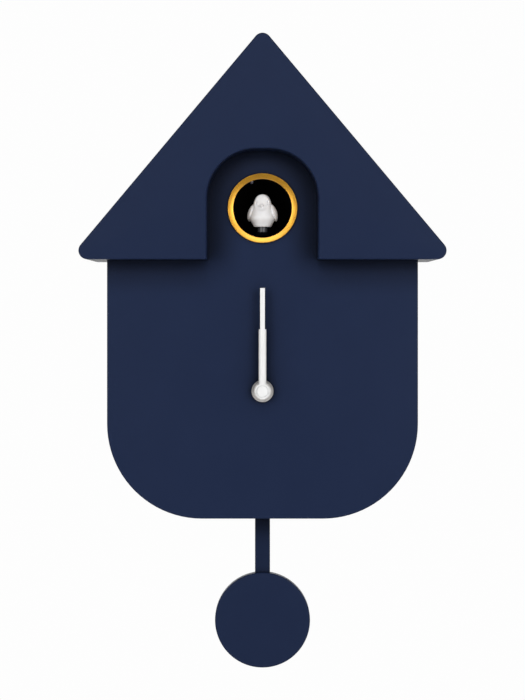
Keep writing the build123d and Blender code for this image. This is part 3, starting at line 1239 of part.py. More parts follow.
def leads():
    """The five twin leads between battery box, board, speaker, motor, movement and light sensor."""
    return battery_lead() + speaker_lead() + motor_lead() + movement_lead() + sensor_lead()


def left_wing():
    """Wing on the left as the clock is read."""
    return mirror(bird_wing(), about=Plane.YZ)


def right_wing():
    """Wing on the right as the clock is read."""
    return bird_wing()


NODES = {
    "front_shell": front_shell,
    "roof_cover": roof_cover,
    "rear_cover": rear_cover,
    "hanger_plate": hanger_plate,
    "case_screws": case_screws,
    "inner_screws": inner_screws,
    "window_ring": window_ring,
    "bird_tunnel": bird_tunnel,
    "light_sensor": light_sensor,
    "bird_body": bird_body,
    "bird_wing_left": left_wing,
    "bird_wing_right": right_wing,
    "bird_post": bird_post,
    "bird_carriage": bird_carriage,
    "mech_frame": mech_frame,
    "guide_rods": guide_rods,
    "drive_gear": drive_gear,
    "motor_pinion": motor_pinion,
    "motor_can": motor_can,
    "motor_end_cap": motor_end_cap,
    "motor_magnets": motor_magnets,
    "motor_armature": motor_armature,
    "limit_switches": limit_switches,
    "movement_case": movement_case,
    "movement_lid": movement_lid,
    "minute_arbor": minute_arbor,
    "hour_wheel": hour_wheel,
    "minute_wheel": minute_wheel,
    "third_wheel": third_wheel,
    "fourth_wheel": fourth_wheel,
    "set_knob": set_knob,
    "stepper_stator": stepper_stator,
    "stepper_coil": stepper_coil,
    "movement_board": movement_board,
    "hand_nut": hand_nut,
    "rubber_washer": rubber_washer,
    "hour_hand": hour_hand,
    "minute_hand": minute_hand,
    "hand_cap": hand_cap,
    "pendulum_drive_case": pendulum_drive_case,
    "drive_coil": drive_coil,
    "pivot_pin": pivot_pin,
    "pendulum_lever": pendulum_lever,
    "pendulum_magnet": pendulum_magnet,
    "hook_pin": hook_pin,
    "pendulum_rod": pendulum_rod,
    "bob_front": bob_front,
    "bob_back": bob_back,
    "bob_weights": bob_weights,
    "bob_screw": bob_screw,
    "battery_box": battery_box,
    "battery_cells": battery_cells,
    "battery_contacts": battery_contacts,
    "battery_door": battery_door,
    "speaker_frame": speaker_frame,
    "speaker_cone": speaker_cone,
    "main_board": main_board,
    "switch_body": switch_body,
    "switch_slider": switch_slider,
    "leads": leads,
}

if __name__ == "__main__":
    os.makedirs("parts", exist_ok=True)
    for name, make in NODES.items():
        print(name, flush=True)
        save(name, make())
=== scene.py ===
"""Looks of a wall-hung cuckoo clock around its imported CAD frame.

A gabled navy case with an arched porch, a white bird in a gold-ringed window, white baton hands and a disc
pendulum. Lengths are metres in the frame's own axes: X right as the clock is read, Y back to the wall, Z up.
"""

import json
import logging
import math
from dataclasses import dataclass, field
from enum import Enum

import bmesh
import bpy
from mathutils import Matrix, Vector

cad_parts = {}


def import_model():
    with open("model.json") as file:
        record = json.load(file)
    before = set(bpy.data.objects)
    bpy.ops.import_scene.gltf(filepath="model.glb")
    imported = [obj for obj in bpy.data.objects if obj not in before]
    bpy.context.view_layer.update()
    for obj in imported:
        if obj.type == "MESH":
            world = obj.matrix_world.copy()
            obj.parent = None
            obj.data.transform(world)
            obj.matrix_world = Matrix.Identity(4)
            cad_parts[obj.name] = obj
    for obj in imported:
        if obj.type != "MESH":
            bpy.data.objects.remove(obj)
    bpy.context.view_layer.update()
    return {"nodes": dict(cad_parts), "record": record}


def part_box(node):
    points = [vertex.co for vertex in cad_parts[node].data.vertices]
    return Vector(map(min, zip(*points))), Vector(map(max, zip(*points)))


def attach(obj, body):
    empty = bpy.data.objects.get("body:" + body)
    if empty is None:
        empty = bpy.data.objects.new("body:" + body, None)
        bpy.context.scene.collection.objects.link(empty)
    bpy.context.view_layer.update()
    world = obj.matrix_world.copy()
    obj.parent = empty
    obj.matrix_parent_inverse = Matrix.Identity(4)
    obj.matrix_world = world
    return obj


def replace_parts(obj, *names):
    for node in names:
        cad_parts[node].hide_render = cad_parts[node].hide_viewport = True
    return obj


LOG = logging.getLogger("clock")
MM = 0.001
Colour = tuple[float, float, float]


# ---------------------------------------------------------------------------------------------------------
# Shader arithmetic
class Wire:
    """A number socket that takes part in sums: every operator adds one Math node."""

    def __init__(self, graph: "Graph", socket: bpy.types.NodeSocket) -> None:
        """Wraps one output socket of a graph."""
        self.graph = graph
        self.socket = socket

    def _math(self, operation: str, *terms: "Wire | float") -> "Wire":
        """One Math node on the given terms."""
        made = self.graph.node("ShaderNodeMath", {"operation": operation}, dict(enumerate(terms)))
        return Wire(self.graph, made.outputs[0])

    def __add__(self, other: "Wire | float") -> "Wire":
        """Sum."""
        return self._math("ADD", self, other)

    __radd__ = __add__

    def __sub__(self, other: "Wire | float") -> "Wire":
        """Difference."""
        return self._math("SUBTRACT", self, other)

    def __rsub__(self, other: "Wire | float") -> "Wire":
        """Difference from a number."""
        return self._math("SUBTRACT", other, self)

    def __mul__(self, other: "Wire | float") -> "Wire":
        """Product."""
        return self._math("MULTIPLY", self, other)

    __rmul__ = __mul__

    def __truediv__(self, other: "Wire | float") -> "Wire":
        """Quotient."""
        return self._math("DIVIDE", self, other)

    def __pow__(self, other: "Wire | float") -> "Wire":
        """Power."""
        return self._math("POWER", self, other)

    def __gt__(self, other: "Wire | float") -> "Wire":
        """One where this is the larger."""
        return self._math("GREATER_THAN", self, other)

    def __lt__(self, other: "Wire | float") -> "Wire":
        """One where this is the smaller."""
        return self._math("LESS_THAN", self, other)

    def __abs__(self) -> "Wire":
        """Size without its sign."""
        return self._math("ABSOLUTE", self)

    def root(self) -> "Wire":
        """Square root."""
        return self._math("SQRT", self)

    def wrapped(self) -> "Wire":
        """Part after the point, for stripes."""
        return self._math("FRACT", self)

    def stepped(self, low: float, high: float) -> "Wire":
        """Smooth rise from 0 at low to 1 at high."""
        made = self.graph.node("ShaderNodeMapRange", {"interpolation_type": "SMOOTHSTEP"},
                               {"Value": self, "From Min": low, "From Max": high})
        return Wire(self.graph, made.outputs[0])


class Graph:
    """Node tree of one material."""

    def __init__(self, name: str) -> None:
        """Starts an empty material."""
        self.material = bpy.data.materials.new(name)
        self.material.use_nodes = True
        self.tree = self.material.node_tree
        self.tree.nodes.clear()

    def node(self, kind: str, settings: dict | None = None, inputs: dict | None = None) -> bpy.types.Node:
        """Adds a node.

        Args:
            kind: The node's type.
            settings: Its properties, set first.
            inputs: Values or links by socket name or number.

        Returns:
            The new node.
        """
        made = self.tree.nodes.new(kind)
        for key, value in (settings or {}).items():
            setattr(made, key, value)
        for key, value in (inputs or {}).items():
            if isinstance(value, Wire):
                self.tree.links.new(value.socket, made.inputs[key])
            elif isinstance(value, bpy.types.NodeSocket):
                self.tree.links.new(value, made.inputs[key])
            else:
                made.inputs[key].default_value = value
        return made

    def place(self, centre: Vector | tuple = (0, 0, 0), stretch: tuple = (1, 1, 1)) -> bpy.types.NodeSocket:
        """Object coordinates for a pattern.

        Args:
            centre: The point that becomes their zero.
            stretch: Factor for each axis, used after the move.

        Returns:
            The vector socket.
        """
        coordinates = self.node("ShaderNodeTexCoord").outputs["Object"]
        moved = self.node("ShaderNodeVectorMath", {"operation": "SUBTRACT"},
                          {0: coordinates, 1: tuple(centre)})
        scaled = self.node("ShaderNodeVectorMath", {"operation": "MULTIPLY"},
                           {0: moved.outputs[0], 1: tuple(stretch)})
        return scaled.outputs[0]

    def axes(self, place: bpy.types.NodeSocket) -> tuple[Wire, Wire, Wire]:
        """The three numbers of a place."""
        made = self.node("ShaderNodeSeparateXYZ", None, {0: place})
        return Wire(self, made.outputs[0]), Wire(self, made.outputs[1]), Wire(self, made.outputs[2])

    def noise(self, place: bpy.types.NodeSocket, size: float, detail: float = 3.0) -> Wire:
        """Cloudy noise from 0 to 1 whose blobs are about size metres."""
        made = self.node("ShaderNodeTexNoise", None,
                         {"Vector": place, "Scale": 1.0 / size, "Detail": detail, "Roughness": 0.55})
        return Wire(self, made.outputs[0])

    def streaks(self, along: Wire, size: float, detail: float = 4.0) -> Wire:
        """Noise that changes only with one number, as tool marks do."""
        made = self.node("ShaderNodeTexNoise", {"noise_dimensions": "1D"},
                         {"W": along, "Scale": 1.0 / size, "Detail": detail, "Roughness": 0.7})
        return Wire(self, made.outputs[0])

    def cells(self, place: bpy.types.NodeSocket, size: float) -> Wire:
        """Distance to the nearest of scattered points, 0 to about 1."""
        made = self.node("ShaderNodeTexVoronoi", None, {"Vector": place, "Scale": 1.0 / size})
        return Wire(self, made.outputs["Distance"])

    def mixed(self, share: Wire | float, low: object, high: object) -> bpy.types.NodeSocket:
        """Colour between two.

        Args:
            share: 0 for the low colour, 1 for the high one.
            low: A colour or a colour socket.
            high: A colour or a colour socket.

        Returns:
            The mixed colour's socket.
        """
        ends = [opaque(end) if isinstance(end, tuple) else end for end in (low, high)]
        made = self.node("ShaderNodeMix", {"data_type": "RGBA"}, {0: share, 6: ends[0], 7: ends[1]})
        return made.outputs[2]

    def painted_corner_shade(self, colour: bpy.types.NodeSocket, power: float, reach: float) -> bpy.types.NodeSocket:
        """Painted shade: colour darkened by ambient occlusion in inside corners, where little light reaches.

        Args:
            colour: The open surface's colour.
            power: How deep the darkening is; 0 is none.
            reach: How far other surfaces darken this one, in metres.

        Returns:
            The darkened colour's socket.
        """
        # Painted shade: the occlusion darkens the base colour itself.
        found = self.node("ShaderNodeAmbientOcclusion", {"samples": 6}, {"Distance": reach})
        share = Wire(self, found.outputs["AO"]) ** power
        return self.mixed(share, (0.0, 0.0, 0.0), colour)

    def relief(self, height: Wire, depth: float, strength: float = 1.0) -> bpy.types.NodeSocket:
        """Normal of a surface whose height changes by depth metres."""
        made = self.node("ShaderNodeBump", None, {"Height": height, "Distance": depth, "Strength": strength})
        return made.outputs[0]

    def surface(self, inputs: dict) -> bpy.types.Material:
        """Ends the graph with a Principled shader and returns the material."""
        shader = self.node("ShaderNodeBsdfPrincipled", None, inputs)
        self.node("ShaderNodeOutputMaterial", None, {0: shader.outputs[0]})
        return self.material


def opaque(colour: Colour) -> tuple[float, float, float, float]:
    """A colour with full alpha."""
    return (*colour, 1.0)


def shade(colour: Colour, factor: float) -> Colour:
    """A colour made lighter or darker."""
    return tuple(min(1.0, channel * factor) for channel in colour)


# ---------------------------------------------------------------------------------------------------------
# Finishes
@dataclass(frozen=True)
class Moulding:
    """Moulded plastic with a spark-eroded grain, broad mottling, a trace of handling polish and, if asked,
    painted shade in inside corners.
    """

    name: str
    colour: Colour
    roughness: float = 0.42
    grain: float = 0.16 * MM
    depth: float = 0.006 * MM
    mottle: float = 0.06
    specular: float = 0.08
    glow: float = 0.0
    # Depth of the painted shade in inside corners; 0 is none.
    painted_shade: float = 0.0
    cloud: float = 26 * MM
    pit: float = 2.2

    def material(self) -> bpy.types.Material:
        """Builds the material."""
        graph = Graph(self.name)
        place = graph.place()
        broad = graph.noise(place, self.cloud, 3.0)
        fine = graph.noise(place, self.grain, 2.0)
        pits = graph.cells(place, self.pit * self.grain)
        tint = graph.mixed(broad * 0.7 + fine * 0.3, shade(self.colour, 1 - self.mottle),
                           shade(self.colour, 1 + self.mottle))
        # Painted shade: inside corners darkened in the base colour.
        if self.painted_shade:
            tint = graph.painted_corner_shade(tint, self.painted_shade, PAINTED_SHADE_REACH)
        rough = (broad - 0.5) * 0.08 + (fine - 0.5) * 0.06 + self.roughness
        return graph.surface({
            "Base Color": tint,
            "Roughness": rough,
            "Specular IOR Level": self.specular,
            "Subsurface Weight": self.glow,
            "Subsurface Scale": 0.8 * MM,
            "Subsurface Radius": (1.0, 0.95, 0.9),
            "Normal": graph.relief(fine * 0.6 + pits * 0.4, self.depth, 0.6),
        })


@dataclass(frozen=True)
class TurnedMetal:
    """Metal with fine concentric tool marks round an axis that runs along the depth."""

    name: str
    colour: Colour
    centre_x: float
    centre_z: float
    roughness: float = 0.28
    pitch: float = 0.12 * MM
    depth: float = 0.004 * MM
    coat: float = 0.0
    metallic: float = 1.0

    def material(self) -> bpy.types.Material:
        """Builds the material."""
        graph = Graph(self.name)
        place = graph.place((self.centre_x, 0, self.centre_z))
        x, _, z = graph.axes(place)
        radius = (x * x + z * z).root()
        marks = graph.streaks(radius, self.pitch, 5.0)
        haze = graph.noise(place, 4 * MM)
        tint = graph.mixed(marks * 0.6 + haze * 0.4, shade(self.colour, 0.9), shade(self.colour, 1.06))
        return graph.surface({
            "Base Color": tint,
            "Metallic": self.metallic,
            "Roughness": (marks - 0.5) * 0.22 + (haze - 0.5) * 0.06 + self.roughness,
            "Coat Weight": self.coat,
            "Coat Roughness": 0.25,
            "Normal": graph.relief(marks, self.depth, 1.0),
        })


class Direction(Enum):
    """Axis that brush marks follow, as the stretch of the noise that draws them."""

    X = (0.02, 1.0, 1.0)
    Y = (1.0, 0.02, 1.0)


@dataclass(frozen=True)
class BrushedMetal:
    """Metal with straight fine brush or drawing marks."""

    name: str
    colour: Colour
    along: Direction
    roughness: float = 0.32
    size: float = 0.18 * MM
    depth: float = 0.005 * MM

    def material(self) -> bpy.types.Material:
        """Builds the material."""
        graph = Graph(self.name)
        marks = graph.noise(graph.place(stretch=self.along.value), self.size, 4.0)
        cloud = graph.noise(graph.place(), 7 * MM)
        tint = graph.mixed(marks * 0.5 + cloud * 0.5, shade(self.colour, 0.85), shade(self.colour, 1.1))
        return graph.surface({
            "Base Color": tint,
            "Metallic": 1.0,
            "Roughness": (marks - 0.5) * 0.25 + (cloud - 0.5) * 0.12 + self.roughness,
            "Normal": graph.relief(marks, self.depth, 0.8),
        })


@dataclass(frozen=True)
class PowderCoat:
    """Painted sheet metal with a faint orange-peel surface."""

    name: str
    colour: Colour
    roughness: float = 0.4

    def material(self) -> bpy.types.Material:
        """Builds the material."""
        graph = Graph(self.name)
        place = graph.place()
        peel = graph.noise(place, 0.45 * MM, 2.0)
        cloud = graph.noise(place, 9 * MM)
        tint = graph.mixed(cloud, shade(self.colour, 0.98), shade(self.colour, 1.01))
        return graph.surface({
            "Base Color": tint,
            "Roughness": (peel - 0.5) * 0.1 + self.roughness,
            "Coat Weight": 0.15,
            "Coat Roughness": 0.25,
            "Normal": graph.relief(peel, 0.01 * MM, 0.5),
        })


@dataclass(frozen=True)
class Winding:
    """Coil of enamelled copper wire."""
    # Coil of enamelled copper wire, darker in the grooves between turns and lighter on their crowns: painted
    # shade and a painted highlight.

    name: str
    colour: Colour
    wire: float = 0.11 * MM
    lay: tuple[float, float] = (0.35, 0.1)

    def material(self) -> bpy.types.Material:
        """Builds the material."""
        graph = Graph(self.name)
        place = graph.place()
        x, y, z = graph.axes(place)
        turns = ((x + y * self.lay[0] + z * self.lay[1]) * (1.0 / self.wire)).wrapped()
        crown_relief_and_shade = 1.0 - abs(turns * 2.0 - 1.0)
        cloud = graph.noise(place, 1.5 * MM)
        # Painted shade and highlight: the colour darkens in the grooves between turns and lightens on the
        # crowns.
        tint = graph.mixed(crown_relief_and_shade * 0.7 + cloud * 0.3, shade(self.colour, 0.45), shade(self.colour, 1.25))
        return graph.surface({
            "Base Color": tint,
            "Metallic": 0.9,
            "Roughness": cloud * 0.15 + 0.28,
            "Coat Weight": 0.5,
            "Coat Roughness": 0.15,
            "Normal": graph.relief(crown_relief_and_shade, 0.03 * MM, 0.8),
        })


@dataclass(frozen=True)
class BoardMask:
    """Circuit board with lighter copper tracks under its mask and scattered tin joints."""

    name: str
    colour: Colour
    lanes: float = 240.0
    lane_gap: float = 0.06
    joint_pitch: float = 2.6 * MM
    joint_size: float = 0.17

    def material(self) -> bpy.types.Material:
        """Builds the material."""
        graph = Graph(self.name)
        place = graph.place(stretch=(1, 0, 1))
        x, _, z = graph.axes(graph.place())
        lanes = graph.node("ShaderNodeTexBrick", {"offset": 0.37}, {
            "Vector": graph.node("ShaderNodeCombineXYZ", None, {0: x, 1: z, 2: 0.0}).outputs[0],
            "Scale": self.lanes, "Mortar Size": self.lane_gap, "Mortar": opaque((1, 1, 1)),
            "Color1": opaque((0, 0, 0)), "Color2": opaque((0, 0, 0)),
        })
        track = Wire(graph, lanes.outputs[0])
        joint = graph.cells(place, self.joint_pitch) < self.joint_size
        mask = graph.mixed(track, self.colour, shade(self.colour, 1.9))
        return graph.surface({
            "Base Color": graph.mixed(joint, mask, (0.62, 0.62, 0.6)),
            "Metallic": joint * 0.9,
            "Roughness": joint * 0.1 + 0.3,
            "Normal": graph.relief(track + joint * 2.0, 0.03 * MM, 0.6),
        })


@dataclass(frozen=True)
class CellJacket:
    """Battery jacket: a plain dark sleeve with one metallic band and bare ends."""

    name: str
    low_z: float
    high_z: float
    band: tuple[float, float] = (0.66, 0.93)
    sleeve: tuple[float, float] = (0.055, 0.95)

    def material(self) -> bpy.types.Material:
        """Builds the material."""
        graph = Graph(self.name)
        place = graph.place((0, 0, self.low_z))
        _, _, z = graph.axes(place)
        height = z / (self.high_z - self.low_z)
        band = (height > self.band[0]) * (height < self.band[1])
        end = (height < self.sleeve[0]) + (height > self.sleeve[1])
        scuff = graph.noise(place, 0.8 * MM)
        jacket = graph.mixed(band, (0.03, 0.032, 0.036), (0.5, 0.28, 0.1))
        return graph.surface({
            "Base Color": graph.mixed(end, jacket, (0.6, 0.6, 0.6)),
            "Metallic": band * 0.8 + end * 0.9,
            "Roughness": scuff * 0.2 + 0.22,
            "Normal": graph.relief(scuff, 0.01 * MM, 0.3),
        })


@dataclass(frozen=True)
class PressedPaper:
    """Felted paper of a loudspeaker's cone."""

    name: str
    colour: Colour

    def material(self) -> bpy.types.Material:
        """Builds the material."""
        graph = Graph(self.name)
        place = graph.place()
        felt = graph.noise(place, 0.35 * MM, 6.0)
        fibre = graph.noise(graph.place(stretch=(1, 1, 0.2)), 0.5 * MM, 5.0)
        return graph.surface({
            "Base Color": graph.mixed(felt * fibre * 2.0, shade(self.colour, 0.5), shade(self.colour, 1.9)),
            "Roughness": 0.95,
            "Normal": graph.relief(felt + fibre, 0.06 * MM, 0.9),
        })


@dataclass(frozen=True)
class ClearResin:
    """Tinted clear resin of the light sensor."""

    name: str
    colour: Colour

    def material(self) -> bpy.types.Material:
        """Builds the material."""
        graph = Graph(self.name)
        cloud = graph.noise(graph.place(), 0.9 * MM)
        return graph.surface({
            "Base Color": graph.mixed(cloud, shade(self.colour, 0.8), shade(self.colour, 1.3)),
            "Roughness": cloud * 0.06 + 0.08,
            "Coat Weight": 0.8,
            "Coat Roughness": 0.05,
        })


NAVY: Colour = (0.0110, 0.0200, 0.0545)
# Painted shade of the navy mouldings' inside corners: its depth and its reach.
PAINTED_SHADE = 1.9
PAINTED_SHADE_REACH = 22 * MM
WINDOW_CENTRE = (0.0, -42.7 * MM)
HANDS_CENTRE = (0.0, -150.9 * MM)


def finishes(cells: tuple[Vector, Vector]) -> dict[str, object]:
    """The finish of every material slot in the record.

    Args:
        cells: Lowest and highest corner of the batteries, which place their bands.

    Returns:
        Finishes by slot name.
    """
    steel = (0.56, 0.56, 0.57)
    return {
        # Case, roof and rod carry painted shade in their inside corners.
        "case": Moulding("case", NAVY, painted_shade=PAINTED_SHADE),
        "roof": Moulding("roof", NAVY, painted_shade=PAINTED_SHADE),
        "back": Moulding("back", shade(NAVY, 0.85), 0.5, 0.3 * MM, 0.02 * MM),
        "rod_navy": Moulding("rod_navy", shade(NAVY, 0.78), painted_shade=PAINTED_SHADE),
        "bob_navy": Moulding("bob_navy", shade(NAVY, 0.96)),
        "gold_ring": TurnedMetal("gold_ring", (0.7, 0.34, 0.018), *WINDOW_CENTRE, 0.3, coat=0.9),
        "bird_white": Moulding("bird_white", (0.84, 0.845, 0.86), 0.42, 0.1 * MM, 0.002 * MM, 0.012, 0.3,
                               glow=0.35),
        "grey_post": Moulding("grey_post", (0.05, 0.053, 0.06), 0.3, 0.14 * MM, 0.002 * MM, 0.05, 0.5),
        "black_moulding": Moulding("black_moulding", (0.0015, 0.0015, 0.0018), 0.8, 0.2 * MM, 0.02 * MM,
                                   specular=0.03),
        "ivory_moulding": Moulding("ivory_moulding", (0.72, 0.68, 0.58), 0.45, 0.25 * MM, 0.02 * MM, 0.04),
        "gear_white": Moulding("gear_white", (0.8, 0.79, 0.74), 0.35, 0.2 * MM, 0.006 * MM, 0.03),
        "gear_brass": BrushedMetal("gear_brass", (0.78, 0.54, 0.22), Direction.X, 0.25),
        "steel": BrushedMetal("steel", steel, Direction.Y, 0.22),
        "zinc_steel": BrushedMetal("zinc_steel", (0.6, 0.61, 0.64), Direction.X, 0.35, 0.4 * MM),
        "dark_steel": BrushedMetal("dark_steel", (0.07, 0.07, 0.075), Direction.X, 0.4, 0.3 * MM),
        "motor_steel": BrushedMetal("motor_steel", (0.6, 0.6, 0.61), Direction.X, 0.3),
        "motor_cap": Moulding("motor_cap", (0.74, 0.73, 0.69), 0.4, 0.2 * MM, 0.01 * MM, 0.03),
        "ferrite": Moulding("ferrite", (0.035, 0.035, 0.038), 0.55, 0.12 * MM, 0.02 * MM, 0.15),
        "copper_winding": Winding("copper_winding", (0.72, 0.28, 0.1)),
        "silicon_steel": BrushedMetal("silicon_steel", (0.35, 0.36, 0.38), Direction.X, 0.4),
        "arbor_steel": BrushedMetal("arbor_steel", (0.62, 0.62, 0.62), Direction.Y, 0.2),
        "movement_black": Moulding("movement_black", (0.012, 0.012, 0.013), 0.5, 0.3 * MM, 0.03 * MM, 0.08),
        "knob_black": Moulding("knob_black", (0.01, 0.01, 0.011), 0.45, 0.2 * MM, 0.01 * MM, 0.08),
        "circuit_green": BoardMask("circuit_green", (0.015, 0.12, 0.04)),
        "sensor_clear": ClearResin("sensor_clear", (0.016, 0.018, 0.035)),
        "nickel": TurnedMetal("nickel", (0.82, 0.79, 0.755), *HANDS_CENTRE, 0.4, metallic=0.75),
        "washer_rubber": Moulding("washer_rubber", (0.02, 0.02, 0.02), 0.85, 0.25 * MM, 0.02 * MM),
        "hand_white": PowderCoat("hand_white", (0.84, 0.84, 0.835)),
        "cell_jacket": CellJacket("cell_jacket", cells[0].z, cells[1].z),
        "cone_paper": PressedPaper("cone_paper", (0.03, 0.03, 0.032)),
        "lead_vinyl": Moulding("lead_vinyl", (0.3, 0.015, 0.015), 0.4, 0.3 * MM, 0.01 * MM),
    }


# ---------------------------------------------------------------------------------------------------------
# Meshes
def placed(mesh: bmesh.types.BMesh, name: str, body: str, look: bpy.types.Material,
           smooth_angle: float = 40.0) -> bpy.types.Object:
    """Turns a bmesh into a finished piece.

    Args:
        mesh: The bmesh, in the frame's place; it is freed.
        name: The piece's name.
        body: CAD body it moves with.
        look: Its material.
        smooth_angle: Edges sharper than this many degrees stay sharp.

    Returns:
        The new object.
    """
    bmesh.ops.remove_doubles(mesh, verts=mesh.verts, dist=1e-7)
    bmesh.ops.recalc_face_normals(mesh, faces=mesh.faces)
    for face in mesh.faces:
        face.smooth = True
    limit = math.radians(smooth_angle)
    for edge in mesh.edges:
        edge.smooth = not (len(edge.link_faces) == 2 and edge.calc_face_angle(0.0) > limit)
    data = bpy.data.meshes.new(name)
    mesh.to_mesh(data)
    mesh.free()
    data.materials.append(look)
    made = bpy.data.objects.new(name, data)
    bpy.context.scene.collection.objects.link(made)
    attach(made, body)
    return made


def turned(profile: list[tuple[float, float]], centre: tuple[float, float],
           steps: int = 192) -> bmesh.types.BMesh:
    """Spins a profile round an axis along the depth.

    Args:
        profile: (radius, depth in front of the wall) pairs in metres, in order.
        centre: X and Z of the axis.
        steps: Facets of the full turn.

    Returns:
        The spun bmesh.
    """
    mesh = bmesh.new()
    points = [mesh.verts.new((centre[0] + radius, -depth, centre[1])) for radius, depth in profile]
    edges = [mesh.edges.new(pair) for pair in zip(points, points[1:])]
    bmesh.ops.spin(mesh, geom=points + edges, cent=(centre[0], 0, centre[1]), axis=(0, 1, 0),
                   angle=2 * math.pi, steps=steps, use_merge=True)
    return mesh


def rounded(profile: list[tuple[float, float]], corner: int, radius: float, steps: int = 6) -> list:
    """Replaces one corner of a profile by an arc.

    Args:
        profile: Points in order.
        corner: Index of the corner.
        radius: Length cut from each side.
        steps: Pieces of the arc.

    Returns:
        The new profile.
    """
    before, here, after = (Vector(profile[corner + shift]) for shift in (-1, 0, 1))
    start = here + (before - here).normalized() * radius
    end = here + (after - here).normalized() * radius
    arc = []
    for step in range(steps + 1):
        share = step / steps
        point = start.lerp(here, share).lerp(here.lerp(end, share), share)
        arc.append((point.x, point.y))
    return profile[:corner] + arc + profile[corner + 1:]


# ---------------------------------------------------------------------------------------------------------
# Sub-assemblies
@dataclass
class CadDress:
    """Gives every CAD node its finish and shades its curves smoothly; breaks the sharp edges of the few
    softened nodes.
    """

    weld: float = 0.002 * MM
    crease: float = 32.0
    softened: dict[str, float] = field(default_factory=lambda: {
        "minute_hand": 0.12 * MM, "hour_hand": 0.12 * MM, "battery_door": 0.1 * MM,
        "switch_slider": 0.08 * MM,
    })
    softened_from: float = 50.0

    def dress(self, nodes: dict[str, bpy.types.Object], slots: dict[str, str],
              looks: dict[str, bpy.types.Material]) -> None:
        """Dresses all nodes.

        Args:
            nodes: CAD objects by node name.
            slots: Material slot by node name.
            looks: Material by slot name.
        """
        for name, node in sorted(nodes.items()):
            node.data.materials.clear()
            node.data.materials.append(looks[slots[name]])
            for face in node.data.polygons:
                face.use_smooth = True
            weld = node.modifiers.new("weld", "WELD")
            weld.merge_threshold = self.weld
            if name in self.softened:
                bevel = node.modifiers.new("soft edge", "BEVEL")
                bevel.width = self.softened[name]
                bevel.segments = 2
                bevel.limit_method = "ANGLE"
                bevel.angle_limit = math.radians(self.softened_from)
            split = node.modifiers.new("crease", "EDGE_SPLIT")
            split.split_angle = math.radians(self.crease)
            LOG.info("dressed %s as %s", name, slots[name])


@dataclass
class WindowRing:
    """Gold ring round the bird's window: a flange dished towards the hole, soft lips and a sleeve."""

    dish: float = 0.5 * MM
    lip: float = 0.3 * MM
    sleeve_wall: float = 1.45 * MM
    flange: float = 3.2 * MM
    proud: float = 1.1 * MM

    def build(self, look: bpy.types.Material) -> bpy.types.Object:
        """Builds the ring in the CAD ring's place."""
        low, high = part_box("window_ring")
        outer = (high.x - low.x) / 2
        inner = outer - self.flange
        front, back = -low.y, -high.y
        face = front - self.proud
        profile = [
            (inner, back), (inner, front - self.dish), (outer, front), (outer, face),
            (inner + self.sleeve_wall, face), (inner + self.sleeve_wall, back), (inner, back),
        ]
        profile = rounded(rounded(profile, 2, self.lip), 1, self.lip)
        ring = placed(turned(profile, WINDOW_CENTRE), "gold_ring", "case", look, 50)
        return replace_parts(ring, "window_ring")


